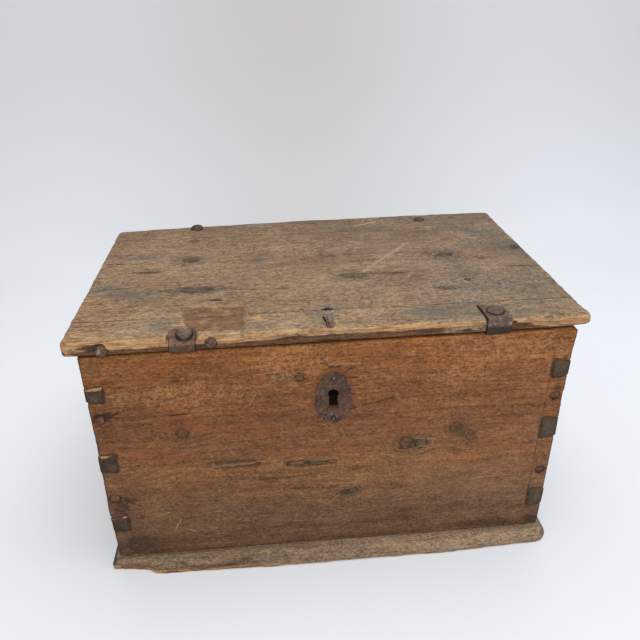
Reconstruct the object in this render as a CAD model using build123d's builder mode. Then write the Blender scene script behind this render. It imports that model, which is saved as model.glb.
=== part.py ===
from build123d import *
import math
import os

# Antique glove box: a dovetailed pine case on a projecting bottom board, with a lid of
# three edge-joined boards on two iron strap hinges and a chest lock with a staple.
# Millimetres. +X right, +Y back, +Z up. The origin is on the floor, under the middle of
# the case.

# ---- driving dimensions: case -------------------------------------------------------
body_width = 408.0
body_depth = 256.0
body_height = 222.6
side_t = 15.0              # side boards
front_t = 18.0             # front and back boards
base_t = 12.0              # bottom board
base_side_proud = 8.5
base_front_proud = 16.5
base_back_proud = 2.0
base_break_width = 34.0    # broken corner, front left
base_break_proud = 3.5     # what is left of the front edge at that corner
base_break_inner = 8.2     # and at the break's inner end
base_break_step = 8.0      # the split runs back out to the edge over this width
base_break_notch = 3.0     # from there to the full width: depth and reach
base_break_reach = 154.0
base_taper = 5.0           # the front edge falls back this much towards the right end
base_taper_width = 100.0
base_bevel = 6.0
base_bevel_run = 4.5
base_corner_r = 12.0
wood_gap = 0.05            # slack in the wood joints

# dovetails: the front and back boards carry the tails, the side boards the pins
pin_flare = 2.0            # each pin widens this much per side towards the inside
left_pins = ((0.834, 17.0), (0.511, 21.6), (0.189, 20.0))     # share of height, height
right_pins = ((0.829, 19.0), (0.547, 24.5), (0.168, 23.4))
left_pegs = (0.721, 0.329)                                     # shares of the height
right_pegs = (0.700, 0.318)
peg_d = 8.5
peg_length = 50.0
peg_facets = 12            # whittled, not turned
base_nail_shares = (-0.32, 0, 0.32)                            # along each side board
wall_nail_shares = (-0.3, 0, 0.3)                              # along the front and back boards

# ---- driving dimensions: lid --------------------------------------------------------
lid_width = 430.0
lid_t = 11.0
lid_front_proud_left = 3.5     # past the front board; the lid is a little out of square
lid_front_proud_right = -2.0
lid_back_proud_left = -4.0
lid_back_proud_middle = 10.0
lid_back_proud_right = 13.0
lid_front_strip = 33.5         # from the case's front face to the front seam
lid_back_strip = 34.5          # from the case's back face to the back seam
lid_front_left_r = 6.0
lid_front_right_r = 4.5
lid_back_corner_r = 4.0
lid_arris_r = 3.0
seat_gap = 0.3                 # straps above the case's top edge
seam_gap = 0.1

# ---- driving dimensions: hinges -----------------------------------------------------
strap_w = 21.5
strap_t = 2.5
left_strap_front_share = -0.296    # of the case's width: the straps are a little askew
left_strap_rear_share = -0.3137
right_strap_front_share = 0.3353
right_strap_rear_share = 0.3127
left_turnover = 14.0           # length of the end turned over the lid
right_turnover = 25.0
right_end_corner_w = 7.0       # its left corner alone reaches that far
right_end_skew = 5.0           # the rest ends this much short of it
right_end_slant = 1.2          # and falls off a little more to the right
left_turnover_slope = 22.0     # degrees: this end lies on a worn, sloping arris
right_turnover_slope = 0.0
left_turnover_corner_r = 4.0
right_turnover_corner_r = 1.0
strap_bend_r = 2.0
wrap_gap = 0.4                 # strap to the lid's front edge
curl_gap = 0.4                 # open lap where the strap's end curls back to form the eye
knuckle_step = 0.5             # the fixed knuckles are this much slimmer than the eye
eye_length = 10.0
knuckle_length = 6.6
knuckle_gap = 0.3
pin_d = 5.0
pin_head_d = 7.6
pin_head_t = 1.5
pin_slack = 0.05               # fixed knuckles on the pin
eye_slack = 0.10               # turning eye on the pin
back_leaf_t = 1.8
back_leaf_length = 118.0
back_leaf_tip_w = 14.0
back_leaf_nail_drops = (36.0, 70.0, 104.0)

# ---- driving dimensions: nails and rivets -------------------------------------------
nail_slack = 0.05
nail_point_share = 0.4         # width of a nail's point, as a share of its shank
nail_crown_share = 0.45        # width of a nail head's flat top, as a share of the head
nail_rim_share = 0.2           # straight rim, as a share of the head's height
nail_facets = 8
rivet_d = 5.0
rivet_facets = 12              # hammered heads
rivet_rim_share = 0.25         # straight rim, as a share of the head's height
rivet_shoulder_share = 0.74    # where the dome breaks, as shares of its width and height
rivet_shoulder_h_share = 0.72
rivet_crown_share = 0.3        # width of the flat on top, as a share of the head
left_front_head_d = 13.6
left_front_head_h = 2.8
right_front_head_d = 14.6
right_front_head_h = 1.4
left_rear_head_d = 14.8
left_rear_head_h = 4.6
right_rear_head_d = 13.2
right_rear_head_h = 2.6
left_front_rivet_s = 6.5       # back from the lid's front edge
left_front_rivet_aside = 1.9   # to the right of the strap's middle
right_front_rivet_s = 9.5
rear_rivet_setback = 6.5       # in front of the case's back face
clout_d = 3.0                  # middle nails of the straps
clout_head_d = 6.5
clout_head_h = 1.2
left_clout_y = 27.0
right_clout_y = -48.0
edge_nail_length = 55.0
edge_nail_d = 3.0
edge_nail_head_d = 10.8
edge_nail_head_h = 3.6
edge_nail_inset = 31.7         # first nail, from the lid's left end
edge_nail_offset = 22.6        # second nail, to the right of the left strap's middle
edge_nail_heights = (4.1, 5.6) # above the lid's underside
base_nail_d = 3.2
base_nail_head_d = 8.0
base_nail_head_h = 1.2
base_nail_length = 34.0
base_nail_recess = 0.4         # the head is sunk this far into the underside

# ---- driving dimensions: escutcheon and lock ----------------------------------------
key_x = -0.5
key_drop = 48.6                # keyhole's round end, below the case's top
keyhole_r = 4.5
keyhole_slot_w = 7.2
keyhole_foot_w = 8.8
keyhole_drop = 16.5
keyhole_slack = 0.6            # the hole in the wood is larger
escutcheon_t = 1.6
escutcheon_half_w = 15.7
escutcheon_above = 21.5        # above and below the keyhole's round end
escutcheon_below = 30.6
escutcheon_widest = -8.0
tack_d = 2.0
tack_head_d = 5.0
tack_head_h = 1.0
tack_length = 12.0
tack_edge = 6.0                # from the escutcheon's ends

lock_plate_t = 1.6
lock_plate_margin = 7.0
lock_plate_top_drop = 3.0      # below the case's top
lock_wall = 1.5
lock_below_key = 20.0
lock_nail_d = 2.6
lock_nail_head_d = 5.6
lock_nail_head_h = 1.0
lock_nail_length = 15.0
key_stem_r = 3.5
staple_x = -1.5
staple_w = 3.2                 # square wire
staple_front_y = 8.5           # front leg, behind the front board
staple_spread = 11.5           # between the legs
staple_drop = 28.6             # lowest point, below the case's top
staple_front_clench = 23.5
staple_back_clench = 4.5
staple_sunk = 0.9
staple_bend_r = 2.5
staple_slack = 0.1
bolt_t = 4.0
bolt_travel = 9.0
bolt_clear = 1.4               # tongue to staple, at rest
tongue_length = 9.0
tongue_h = 8.0
web_w = 17.0
bar_h = 10.0
bar_reach = 22.0               # bar beyond the staple
part_gap = 0.3                 # running gap inside the lock
talon_w = 12.0
talon_h = 5.5
guide_t = 3.0
guide_rim = 1.6
spring_t = 0.8
spring_w = 5.0
ward_r = 9.0
ward_t = 1.5
ward_depth = 4.4
ward_mouth = 60.0              # degrees open at the bottom, for the key's bit
bolt_below_staple = 1.5        # the bolt's bar passes this far below the staple
tongue_rise = 0.6              # the tongue's lower edge, above the middle of the staple's bend
cover_room = 2.0               # lock cover to the bolt's ends
spring_room = 6.0              # above the bolt, for its spring
slot_side = 1.2                # slot in the lock cover, round the staple
slot_swing = 2.4               # more in front, for the staple's swing as the lid rises
slot_rear = 0.8
staple_rear_room = 2.2
spring_dip = 3.5               # where the spring presses, left of the tongue's tip
spring_lift = 1.0              # its free end turns up this much
spring_free = 3.0              # length of that end
leaf_nail_share = 0.9          # of the back board's thickness
cut_over = 1.0                 # cuts pass this far through

# ---- places worked out from them ----------------------------------------------------
front_y = -body_depth / 2
back_y = body_depth / 2
side_x = body_width / 2
body_mid_z = base_t + body_height / 2
body_top = base_t + body_height
inner_front_y = front_y + front_t

lid_under = body_top + seat_gap + strap_t
lid_top = lid_under + lid_t
lid_x = lid_width / 2
front_seam_y = front_y + lid_front_strip
back_seam_y = back_y - lid_back_strip

left_strap_front_x = left_strap_front_share * body_width
left_strap_rear_x = left_strap_rear_share * body_width
right_strap_front_x = right_strap_front_share * body_width
right_strap_rear_x = right_strap_rear_share * body_width
eye_r = pin_d / 2 + strap_t
knuckle_r = eye_r - knuckle_step
axis_y = back_y + eye_r + knuckle_gap
axis_z = lid_under - eye_r
hinge_half = eye_length / 2 + knuckle_gap + knuckle_length

key_z = body_top - key_drop
front_leg_y = inner_front_y + staple_front_y
back_leg_y = front_leg_y + staple_spread
half_wire = staple_w / 2
staple_low = body_top - staple_drop
bend_z = staple_low + half_wire + staple_spread / 2
clench_z = lid_top - staple_sunk
bolt_y = (front_leg_y + back_leg_y) / 2
tongue_low = bend_z + tongue_rise
tongue_tip = staple_x - half_wire - bolt_clear
web_right = tongue_tip - tongue_length
web_left = web_right - web_w
bar_top = staple_low - bolt_below_staple
bar_low = bar_top - bar_h
bar_right = staple_x + bar_reach
bolt_top = tongue_low + tongue_h
cover_left = web_left - cover_room
cover_right = bar_right + bolt_travel + cover_room
cover_low = key_z - lock_below_key
cover_roof = bolt_top + spring_room    # inside of the cover's top wall
plate_back_y = inner_front_y + lock_plate_t
cover_back_y = back_leg_y + half_wire + staple_rear_room + lock_wall
plate_left = cover_left - lock_wall - lock_plate_margin
plate_right = cover_right + lock_wall + lock_plate_margin
plate_low = cover_low - lock_wall - lock_plate_margin
plate_top = body_top - lock_plate_top_drop

os.makedirs("parts", exist_ok=True)

# rotations that turn a nail's head from +Z to face another way
FACING_FRONT = (90, 0, 0)
FACING_BACK = (-90, 0, 0)
FACING_DOWN = (180, 0, 0)


def finish(piece, name):
    """Label one piece and write it."""
    piece.label = name
    export_step(piece, f"parts/{name}.step")
    box = piece.bounding_box()
    print(name, len(piece.solids()), "solids", [round(v, 1) for v in (box.size.X, box.size.Y, box.size.Z)])


def lid_front_edge(x):
    """Y of the lid's front edge at one X: it runs a little askew."""
    share = (x + lid_x) / lid_width
    proud = lid_front_proud_left + share * (lid_front_proud_right - lid_front_proud_left)
    return front_y - proud


def lean(run, rise):
    """Angle, in degrees, of a side that comes in by run over a height of rise."""
    return math.degrees(math.atan2(run, rise))


def shank(width, point_w, length):
    """A square shank that tapers down from z = 0 to a blunt point, added to the current part."""
    inset = (width - point_w) / 2
    with Locations((0, 0, -length / 2)):
        Wedge(width, length, width, inset, inset, width - inset, width - inset, rotation=(-90, 0, 0))


def nail(shank_w, length, head_d, head_h):
    """A forged nail on z = 0: faceted head above, square tapering shank below."""
    flat_r = head_d / 2 * math.cos(math.pi / nail_facets)
    with BuildPart() as piece:
        with BuildSketch():
            RegularPolygon(head_d / 2, nail_facets)
        extrude(amount=head_h)
        crown = piece.faces().sort_by(Axis.Z)[-1]
        chamfer(crown.edges(), flat_r * (1 - nail_crown_share), head_h * (1 - nail_rim_share), reference=crown)
        shank(shank_w, shank_w * nail_point_share, length)
    return piece.part


def nail_hole(shank_w, length):
    """The square hole that a nail of this size sits in."""
    with BuildPart() as piece:
        with Locations((0, 0, nail_slack)):
            shank(shank_w + 2 * nail_slack, shank_w * nail_point_share + 2 * nail_slack, length + 2 * nail_slack)
    return piece.part


def rivet(length, head_d, head_h):
    """A rivet on z = 0: hammered, domed head with a short rim above, round shank below."""
    flat_r = head_d / 2 * math.cos(math.pi / rivet_facets)
    rim = head_h * rivet_rim_share
    shoulder = head_h * rivet_shoulder_h_share
    lower_run = flat_r * (1 - rivet_shoulder_share)
    upper_run = flat_r * (rivet_shoulder_share - rivet_crown_share)
    with BuildPart() as piece:
        with Locations((0, 0, -length / 2)):
            Cylinder(rivet_d / 2, length)
        with BuildSketch():
            RegularPolygon(head_d / 2, rivet_facets)
        extrude(amount=rim)
        with BuildSketch(Plane.XY.offset(rim)):
            RegularPolygon(head_d / 2, rivet_facets)
        extrude(amount=shoulder - rim, taper=lean(lower_run, shoulder - rim))
        with BuildSketch(Plane.XY.offset(shoulder)):
            RegularPolygon(head_d / 2 * rivet_shoulder_share, rivet_facets)
        extrude(amount=head_h - shoulder, taper=lean(upper_run, head_h - shoulder))
    return piece.part


def rivet_hole(length):
    """The hole that a round shank of this length sits in."""
    with BuildPart() as piece:
        with Locations((0, 0, -length / 2)):
            Cylinder(rivet_d / 2 + nail_slack, length + 2 * nail_slack)
    return piece.part


def wooden_peg(slack):
    """A whittled peg driven in from z = 0, or, with slack, the hole that it sits in."""
    with BuildPart() as piece:
        with BuildSketch(Plane.XY.offset(slack)):
            RegularPolygon(peg_d / 2 + slack, peg_facets)
        extrude(amount=-peg_length - 2 * slack)
    return piece.part


def at(points, facing):
    """Locations at these points, all turned one way."""
    return [Location(point, facing) for point in points]


# ---- where the nails and pegs sit ---------------------------------------------------
peg_x = side_x - side_t / 2


def peg_height(share):
    return base_t + share * body_height


left_front_pegs = [(-peg_x, front_y, peg_height(s)) for s in left_pegs]
right_front_pegs = [(peg_x, front_y, peg_height(s)) for s in right_pegs]
left_back_pegs = [(-peg_x, back_y, peg_height(s)) for s in left_pegs]
right_back_pegs = [(peg_x, back_y, peg_height(s)) for s in right_pegs]

base_nail_z = base_nail_recess + base_nail_head_h
base_nails_sides = [(x, share * body_depth, base_nail_z) for x in (-peg_x, peg_x)
                    for share in base_nail_shares]
base_nails_walls = [(share * body_width, y, base_nail_z) for share in wall_nail_shares
                    for y in (front_y + front_t / 2, back_y - front_t / 2)]

tack_sites = [(key_x, front_y - escutcheon_t, key_z + escutcheon_above - tack_edge),
              (key_x, front_y - escutcheon_t, key_z - escutcheon_below + tack_edge)]
lock_nail_inset = lock_plate_margin / 2
lock_nail_sites = [(x, plate_back_y, z) for x in (plate_left + lock_nail_inset, plate_right - lock_nail_inset)
                   for z in (plate_low + lock_nail_inset, plate_top - lock_nail_inset)]

leaf_nail_length = front_t * leaf_nail_share
peg_hole = wooden_peg(wood_gap)
base_nail_hole = nail_hole(base_nail_d, base_nail_length)
tack_hole = nail_hole(tack_d, tack_length)
lock_nail_hole = nail_hole(lock_nail_d, lock_nail_length)
leaf_nail_hole = nail_hole(clout_d, leaf_nail_length)


def leaf_nail_sites(x):
    return [(x, back_y + back_leaf_t, axis_z - drop) for drop in back_leaf_nail_drops]


all_leaf_nail_sites = leaf_nail_sites(left_strap_rear_x) + leaf_nail_sites(right_strap_rear_x)


# ---- case: boards -------------------------------------------------------------------
def pin_outline(side, share, height, grow):
    """One dovetail pin, seen from the front: wide at the inside, narrow at the outside."""
    z = base_t + share * body_height
    inside = side * (side_x - side_t)
    outside = side * side_x
    wide = height / 2 + grow
    narrow = height / 2 - pin_flare + grow
    Polygon((inside, z - wide), (outside, z - narrow), (outside, z + narrow), (inside, z + wide),
            align=None)


def all_pins(side, grow):
    """Every pin on one side, drawn in the current sketch."""
    for share, height in (left_pins if side < 0 else right_pins):
        pin_outline(side, share, height, grow)


def side_board(side, pegs):
    with BuildPart() as board:
        with BuildSketch(Plane.YZ.offset(side * (side_x - side_t / 2))):
            with Locations((0, body_mid_z)):
                Rectangle(body_depth - 2 * front_t - 2 * wood_gap, body_height)
        extrude(amount=side_t / 2, both=True)
        with BuildSketch(Plane.XZ.offset(-back_y)):
            all_pins(side, 0)
        extrude(amount=body_depth)
        with Locations(*at([p for p in pegs if p[1] < 0], FACING_FRONT)):
            add(peg_hole, mode=Mode.SUBTRACT)
        with Locations(*at([p for p in pegs if p[1] > 0], FACING_BACK)):
            add(peg_hole, mode=Mode.SUBTRACT)
        with Locations(*at([p for p in base_nails_sides if p[0] * side > 0], FACING_DOWN)):
            add(base_nail_hole, mode=Mode.SUBTRACT)
    return board.part


def tail_board(y_low, peg_sites, facing):
    """Front or back board, from y_low to y_low + front_t, with sockets for the pins."""
    with BuildPart() as board:
        with BuildSketch(Plane.XZ.offset(-(y_low + front_t))):
            with Locations((0, body_mid_z)):
                Rectangle(body_width, body_height)
        extrude(amount=front_t)
        with BuildSketch(Plane.XZ.offset(-(y_low + front_t + cut_over))):
            for side in (-1, 1):
                all_pins(side, wood_gap)
        extrude(amount=front_t + 2 * cut_over, mode=Mode.SUBTRACT)
        with Locations(*at(peg_sites, facing)):
            add(peg_hole, mode=Mode.SUBTRACT)
        with Locations(*at([p for p in base_nails_walls if y_low < p[1] < y_low + front_t], FACING_DOWN)):
            add(base_nail_hole, mode=Mode.SUBTRACT)
    return board.part


def keyhole_sketch(grow):
    """Round end above, slot that widens a little to its foot."""
    with Locations((key_x, key_z)):
        Circle(keyhole_r + grow)
    foot = key_z - keyhole_drop - grow
    Polygon((key_x - keyhole_slot_w / 2 - grow, key_z), (key_x - keyhole_slot_w / 2 - grow, foot),
            (key_x + keyhole_foot_w - keyhole_slot_w / 2 + grow, foot),
            (key_x + keyhole_slot_w / 2 + grow, key_z - keyhole_drop / 2),
            (key_x + keyhole_slot_w / 2 + grow, key_z), align=None)


with BuildPart() as front_board:
    add(tail_board(front_y, left_front_pegs + right_front_pegs, FACING_FRONT))
    with BuildSketch(Plane.XZ.offset(-(inner_front_y + cut_over))):
        keyhole_sketch(keyhole_slack)
    extrude(amount=front_t + 2 * cut_over, mode=Mode.SUBTRACT)
    with Locations(*at(tack_sites, FACING_FRONT)):
        add(tack_hole, mode=Mode.SUBTRACT)
    with Locations(*at(lock_nail_sites, FACING_BACK)):
        add(lock_nail_hole, mode=Mode.SUBTRACT)
finish(front_board.part, "front_board")

with BuildPart() as back_board:
    add(tail_board(back_y - front_t, left_back_pegs + right_back_pegs, FACING_BACK))
    with Locations(*at(all_leaf_nail_sites, FACING_BACK)):
        add(leaf_nail_hole, mode=Mode.SUBTRACT)
finish(back_board.part, "back_board")

finish(side_board(-1, left_front_pegs + left_back_pegs), "left_side_board")
finish(side_board(1, right_front_pegs + right_back_pegs), "right_side_board")

# bottom board: bevelled on its outer edges, split away along the front at the left end
base_left = -side_x - base_side_proud
base_right = side_x + base_side_proud
base_front = front_y - base_front_proud
base_back = back_y + base_back_proud
split_x = base_left + base_break_width

with BuildPart() as bottom_board:
    with BuildSketch():
        with BuildLine():
            Polyline((base_left, front_y - base_break_proud), (split_x, front_y - base_break_inner),
                     (split_x + base_break_step, base_front + base_break_notch),
                     (base_left + base_break_reach, base_front), (base_right - base_taper_width, base_front),
                     (base_right, base_front + base_taper), (base_right, base_back), (base_left, base_back),
                     close=True)
        outline = make_face()
        fillet(outline.vertices().sort_by(Axis.X)[-2:].sort_by(Axis.Y)[0], base_corner_r)
    extrude(amount=base_t)
    bevelled = bottom_board.faces().sort_by(Axis.Z)[-1].edges().filter_by(lambda e: e.center().Y < back_y)
    chamfer(bevelled, base_bevel, base_bevel_run)
    with Locations(*at(base_nails_sides + base_nails_walls, FACING_DOWN)):
        add(base_nail_hole, mode=Mode.SUBTRACT)
    with BuildSketch():
        with Locations(*base_nails_sides, *base_nails_walls):
            RegularPolygon(base_nail_head_d / 2 + nail_slack, nail_facets)
    extrude(amount=base_nail_z, mode=Mode.SUBTRACT)
finish(bottom_board.part, "bottom_board")

with BuildPart() as corner_pegs:
    with Locations(*at(left_front_pegs + right_front_pegs, FACING_FRONT)):
        add(wooden_peg(0))
    with Locations(*at(left_back_pegs + right_back_pegs, FACING_BACK)):
        add(wooden_peg(0))
finish(corner_pegs.part, "corner_pegs")

with BuildPart() as bottom_nails:
    with Locations(*at(base_nails_sides + base_nails_walls, FACING_DOWN)):
        add(nail(base_nail_d, base_nail_length, base_nail_head_d, base_nail_head_h))
finish(bottom_nails.part, "bottom_nails")

# ---- escutcheon ---------------------------------------------------------------------
with BuildPart() as escutcheon:
    widest_z = key_z + escutcheon_widest
    top_reach = escutcheon_above - escutcheon_widest
    low_reach = escutcheon_below + escutcheon_widest
    with BuildSketch(Plane.XZ.offset(-front_y)):
        with BuildLine():
            middle = (key_x, widest_z)
            EllipticalCenterArc(middle, escutcheon_half_w, top_reach, start_angle=0, arc_size=180)
            EllipticalCenterArc(middle, escutcheon_half_w, low_reach, start_angle=180, arc_size=180)
        make_face()
    extrude(amount=escutcheon_t)
    chamfer(escutcheon.faces().sort_by(Axis.Y)[0].edges(), escutcheon_t / 4)
    with BuildSketch(Plane.XZ.offset(-front_y)):
        keyhole_sketch(0)
    extrude(amount=escutcheon_t, mode=Mode.SUBTRACT)
    with Locations(*at(tack_sites, FACING_FRONT)):
        add(tack_hole, mode=Mode.SUBTRACT)
finish(escutcheon.part, "escutcheon")

with BuildPart() as escutcheon_nails:
    with Locations(*at(tack_sites, FACING_FRONT)):
        add(nail(tack_d, tack_length, tack_head_d, tack_head_h))
finish(escutcheon_nails.part, "escutcheon_nails")

# ---- lock: fixed parts --------------------------------------------------------------
with BuildPart() as lock_plate:
    with BuildSketch(Plane.XZ.offset(-plate_back_y)):
        with Locations(((plate_left + plate_right) / 2, (plate_low + plate_top) / 2)):
            RectangleRounded(plate_right - plate_left, plate_top - plate_low, lock_plate_margin / 2)
    extrude(amount=lock_plate_t)
    with BuildSketch(Plane.XZ.offset(-plate_back_y)):
        keyhole_sketch(0)
    extrude(amount=lock_plate_t, mode=Mode.SUBTRACT)
    with Locations(*at(lock_nail_sites, FACING_BACK)):
        add(lock_nail_hole, mode=Mode.SUBTRACT)
finish(lock_plate.part, "lock_plate")

with BuildPart() as lock_nails:
    with Locations(*at(lock_nail_sites, FACING_BACK)):
        add(nail(lock_nail_d, lock_nail_length, lock_nail_head_d, lock_nail_head_h))
finish(lock_nails.part, "lock_nails")

with BuildPart() as lock_cover:
    cover_mid_x = (cover_left + cover_right) / 2
    cover_mid_z = (cover_low + cover_roof) / 2
    cover_w = cover_right - cover_left
    cover_h = cover_roof - cover_low
    with BuildSketch(Plane.XZ.offset(-cover_back_y)):
        with Locations((cover_mid_x, cover_mid_z)):
            Rectangle(cover_w + 2 * lock_wall, cover_h + 2 * lock_wall)
    extrude(amount=cover_back_y - plate_back_y)
    chamfer(lock_cover.faces().sort_by(Axis.Y)[-1].edges(), lock_wall / 2)
    with BuildSketch(Plane.XZ.offset(-(cover_back_y - lock_wall))):
        with Locations((cover_mid_x, cover_mid_z)):
            Rectangle(cover_w, cover_h)
    extrude(amount=cover_back_y - plate_back_y, mode=Mode.SUBTRACT)
    slot_front = front_leg_y - half_wire - slot_swing
    slot_back = back_leg_y + half_wire + slot_rear
    with BuildSketch(Plane.XY.offset(cover_roof - cut_over)):
        with Locations((staple_x, (slot_front + slot_back) / 2)):
            Rectangle(staple_w + 2 * slot_side, slot_back - slot_front)
    extrude(amount=lock_wall + 2 * cut_over, mode=Mode.SUBTRACT)
    with Locations(Location((key_x, cover_back_y, key_z), FACING_BACK)):
        Cylinder(key_stem_r, 2 * (lock_wall + cut_over), mode=Mode.SUBTRACT)
finish(lock_cover.part, "lock_cover")

with BuildPart() as lock_ward:
    with BuildSketch(Plane.XZ.offset(-(plate_back_y + ward_depth))):
        with Locations((key_x, key_z)):
            Circle(ward_r + ward_t)
            Circle(ward_r, mode=Mode.SUBTRACT)
        mouth_x = (ward_r + ward_t) * math.tan(math.radians(ward_mouth / 2))
        Polygon((key_x, key_z), (key_x - mouth_x, key_z - ward_r - ward_t),
                (key_x + mouth_x, key_z - ward_r - ward_t), align=None, mode=Mode.SUBTRACT)
    extrude(amount=ward_depth)
finish(lock_ward.part, "lock_ward")


def bolt_guide(x, low, high):
    """A plate across the lock with a window that the bolt slides through."""
    window_y = bolt_t + 2 * part_gap
    deep = bolt_y + window_y / 2 + guide_rim
    with BuildPart() as guide:
        with BuildSketch(Plane.YZ.offset(x)):
            with Locations(((plate_back_y + deep) / 2, (low + high) / 2)):
                Rectangle(deep - plate_back_y, high - low + 2 * part_gap + 2 * guide_rim)
            with Locations((bolt_y, (low + high) / 2)):
                Rectangle(window_y, high - low + 2 * part_gap, mode=Mode.SUBTRACT)
        extrude(amount=guide_t)
    return guide.part


with BuildPart() as bolt_guides:
    add(bolt_guide(web_right - guide_t * 2, bar_low, bolt_top))
    add(bolt_guide(bar_right - guide_t * 2, bar_low, bar_top))
finish(bolt_guides.part, "bolt_guides")

with BuildPart() as bolt_spring:
    dip_z = bolt_top + part_gap
    dip_x = tongue_tip - spring_dip
    rise_x = dip_x + spring_free
    rise_z = dip_z + spring_lift
    bend_x = web_right - 2 * guide_t
    with BuildSketch(Plane.XZ.offset(-(bolt_y + spring_w / 2))):
        with BuildLine():
            Polyline((cover_left, cover_roof), (bend_x, cover_roof), (dip_x, dip_z + spring_t),
                     (rise_x, rise_z + spring_t), (rise_x, rise_z), (dip_x, dip_z),
                     (bend_x - spring_t / 3, cover_roof - spring_t), (cover_left, cover_roof - spring_t),
                     close=True)
        make_face()
    extrude(amount=spring_w)
finish(bolt_spring.part, "bolt_spring")

# ---- lock: bolt, drawn back at rest -------------------------------------------------
with BuildPart() as lock_bolt:
    with BuildSketch(Plane.XZ.offset(-(bolt_y + bolt_t / 2))):
        with BuildLine():
            talon_x = key_x - bolt_travel / 2
            Polyline((web_left, bar_low), (talon_x - talon_w / 2, bar_low),
                     (talon_x - talon_w / 2, bar_low + talon_h), (talon_x + talon_w / 2, bar_low + talon_h),
                     (talon_x + talon_w / 2, bar_low), (bar_right, bar_low), (bar_right, bar_top),
                     (web_right, bar_top), (web_right, tongue_low), (tongue_tip, tongue_low),
                     (tongue_tip, bolt_top), (web_left, bolt_top), close=True)
        make_face()
    extrude(amount=bolt_t)
    tip_edges = lock_bolt.edges().filter_by(Axis.Z).filter_by(lambda e: abs(e.center().X - tongue_tip) < 0.01)
    chamfer(tip_edges, bolt_t / 5)
finish(lock_bolt.part, "lock_bolt")


# ---- lid boards ---------------------------------------------------------------------
def lid_board(y_low, y_high):
    """One board of the lid: the whole outline, kept between two seams."""
    with BuildPart() as board:
        with BuildSketch(Plane.XY.offset(lid_under)):
            front_left = (-lid_x, lid_front_edge(-lid_x))
            front_right = (lid_x, lid_front_edge(lid_x))
            back_right = (lid_x, back_y + lid_back_proud_right)
            back_left = (-lid_x, back_y + lid_back_proud_left)
            with BuildLine():
                Line(front_left, front_right)
                Line(front_right, back_right)
                ThreePointArc(back_right, (0, back_y + lid_back_proud_middle), back_left)
                Line(back_left, front_left)
            outline = make_face()
            corners = outline.vertices().sort_by(Axis.Y)
            front_corners = corners[:2].sort_by(Axis.X)
            fillet(front_corners[0], lid_front_left_r)
            fillet(front_corners[1], lid_front_right_r)
            fillet(corners[2:], lid_back_corner_r)
            with Locations((0, (y_low + y_high) / 2)):
                Rectangle(lid_width * 2, y_high - y_low, mode=Mode.INTERSECT)
        extrude(amount=lid_t)
        top = board.faces().sort_by(Axis.Z)[-1]
        worn = top.edges().filter_by(lambda e: e.center().Y < y_high - 1 and e.center().Y > y_low + 1)
        fillet(worn, min(lid_arris_r, lid_t / 3))
    return board.part


# ---- hinge straps -------------------------------------------------------------------
def strap_plane(front_x, rear_x):
    """Plane that runs along a strap from the lid's front edge: local X back, local Y up."""
    start = Vector(front_x, lid_front_edge(front_x), 0)
    along = (Vector(rear_x, back_y, 0) - start).normalized()
    return Plane(origin=start, x_dir=along, z_dir=Vector(along.Y, -along.X, 0))


def strap_run(front_x, rear_x):
    return math.hypot(rear_x - front_x, back_y - lid_front_edge(front_x))


def turnover_heights(turnover, slope):
    """Height of the turned-over end's lower face at the front, and its slope's tangent."""
    rise = math.tan(math.radians(slope))
    return lid_top - (turnover + wrap_gap) * rise, rise


def hinge_strap(front_x, rear_x, turnover, slope, corner_r):
    low = lid_under - strap_t
    front = -wrap_gap - strap_t
    nose, rise = turnover_heights(turnover, slope)
    thick = strap_t / math.cos(math.radians(slope))
    lean = strap_t * math.sin(math.radians(slope))
    drop = strap_t * math.cos(math.radians(slope))
    with BuildPart() as strap:
        with BuildSketch(strap_plane(front_x, rear_x)):
            with BuildLine():
                Polyline((front, low), (strap_run(front_x, rear_x), low),
                         (strap_run(front_x, rear_x), lid_under), (-wrap_gap, lid_under), (-wrap_gap, nose),
                         (turnover, lid_top), (turnover - lean, lid_top + drop),
                         (front, nose + thick - strap_t * rise), close=True)
            profile = make_face()
            fillet(profile.vertices().sort_by(Axis.X)[:2], strap_bend_r)
        extrude(amount=strap_w / 2, both=True)
        turned_end = strap.edges().filter_by(lambda e: abs(e.length - strap_t) < strap_t / 100
                                             and e.center().Z > lid_under + lid_t / 2)
        fillet(turned_end, corner_r)
        with BuildSketch(Plane.YZ.offset(rear_x)):
            with Locations(((back_y - strap_t + axis_y) / 2, (low + lid_under) / 2)):
                Rectangle(axis_y - back_y + strap_t, strap_t)
            with Locations((axis_y, axis_z)):
                Circle(eye_r)
            with Locations((axis_y - eye_r, low - curl_gap / 2)):
                Rectangle(pin_d + strap_t, curl_gap, mode=Mode.SUBTRACT)
        extrude(amount=eye_length / 2, both=True)
        with Locations(Location((rear_x, axis_y, axis_z), (0, 90, 0))):
            Cylinder(pin_d / 2 + eye_slack, eye_length + 2 * cut_over, mode=Mode.SUBTRACT)
    return strap.part


def strap_x_at(front_x, rear_x, y):
    """X of the strap's centre line at one Y."""
    y_start = lid_front_edge(front_x)
    return front_x + (rear_x - front_x) * (y - y_start) / (back_y - y_start)


left_line = (left_strap_front_x, left_strap_rear_x)
right_line = (right_strap_front_x, right_strap_rear_x)

# front rivets, square to the turned-over end
left_nose, left_rise = turnover_heights(left_turnover, left_turnover_slope)
right_nose, right_rise = turnover_heights(right_turnover, right_turnover_slope)


def front_rivet_place(line, s, aside, nose, rise, slope):
    strap = strap_plane(*line)
    z = nose + (s + wrap_gap) * rise + strap_t / math.cos(math.radians(slope))
    square = Vector(0, 0, math.cos(math.radians(slope))) - strap.x_dir * math.sin(math.radians(slope))
    place = strap.from_local_coords(Vector(s, z, aside))
    return Location(Plane(origin=place, x_dir=strap.z_dir, z_dir=square))


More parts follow.
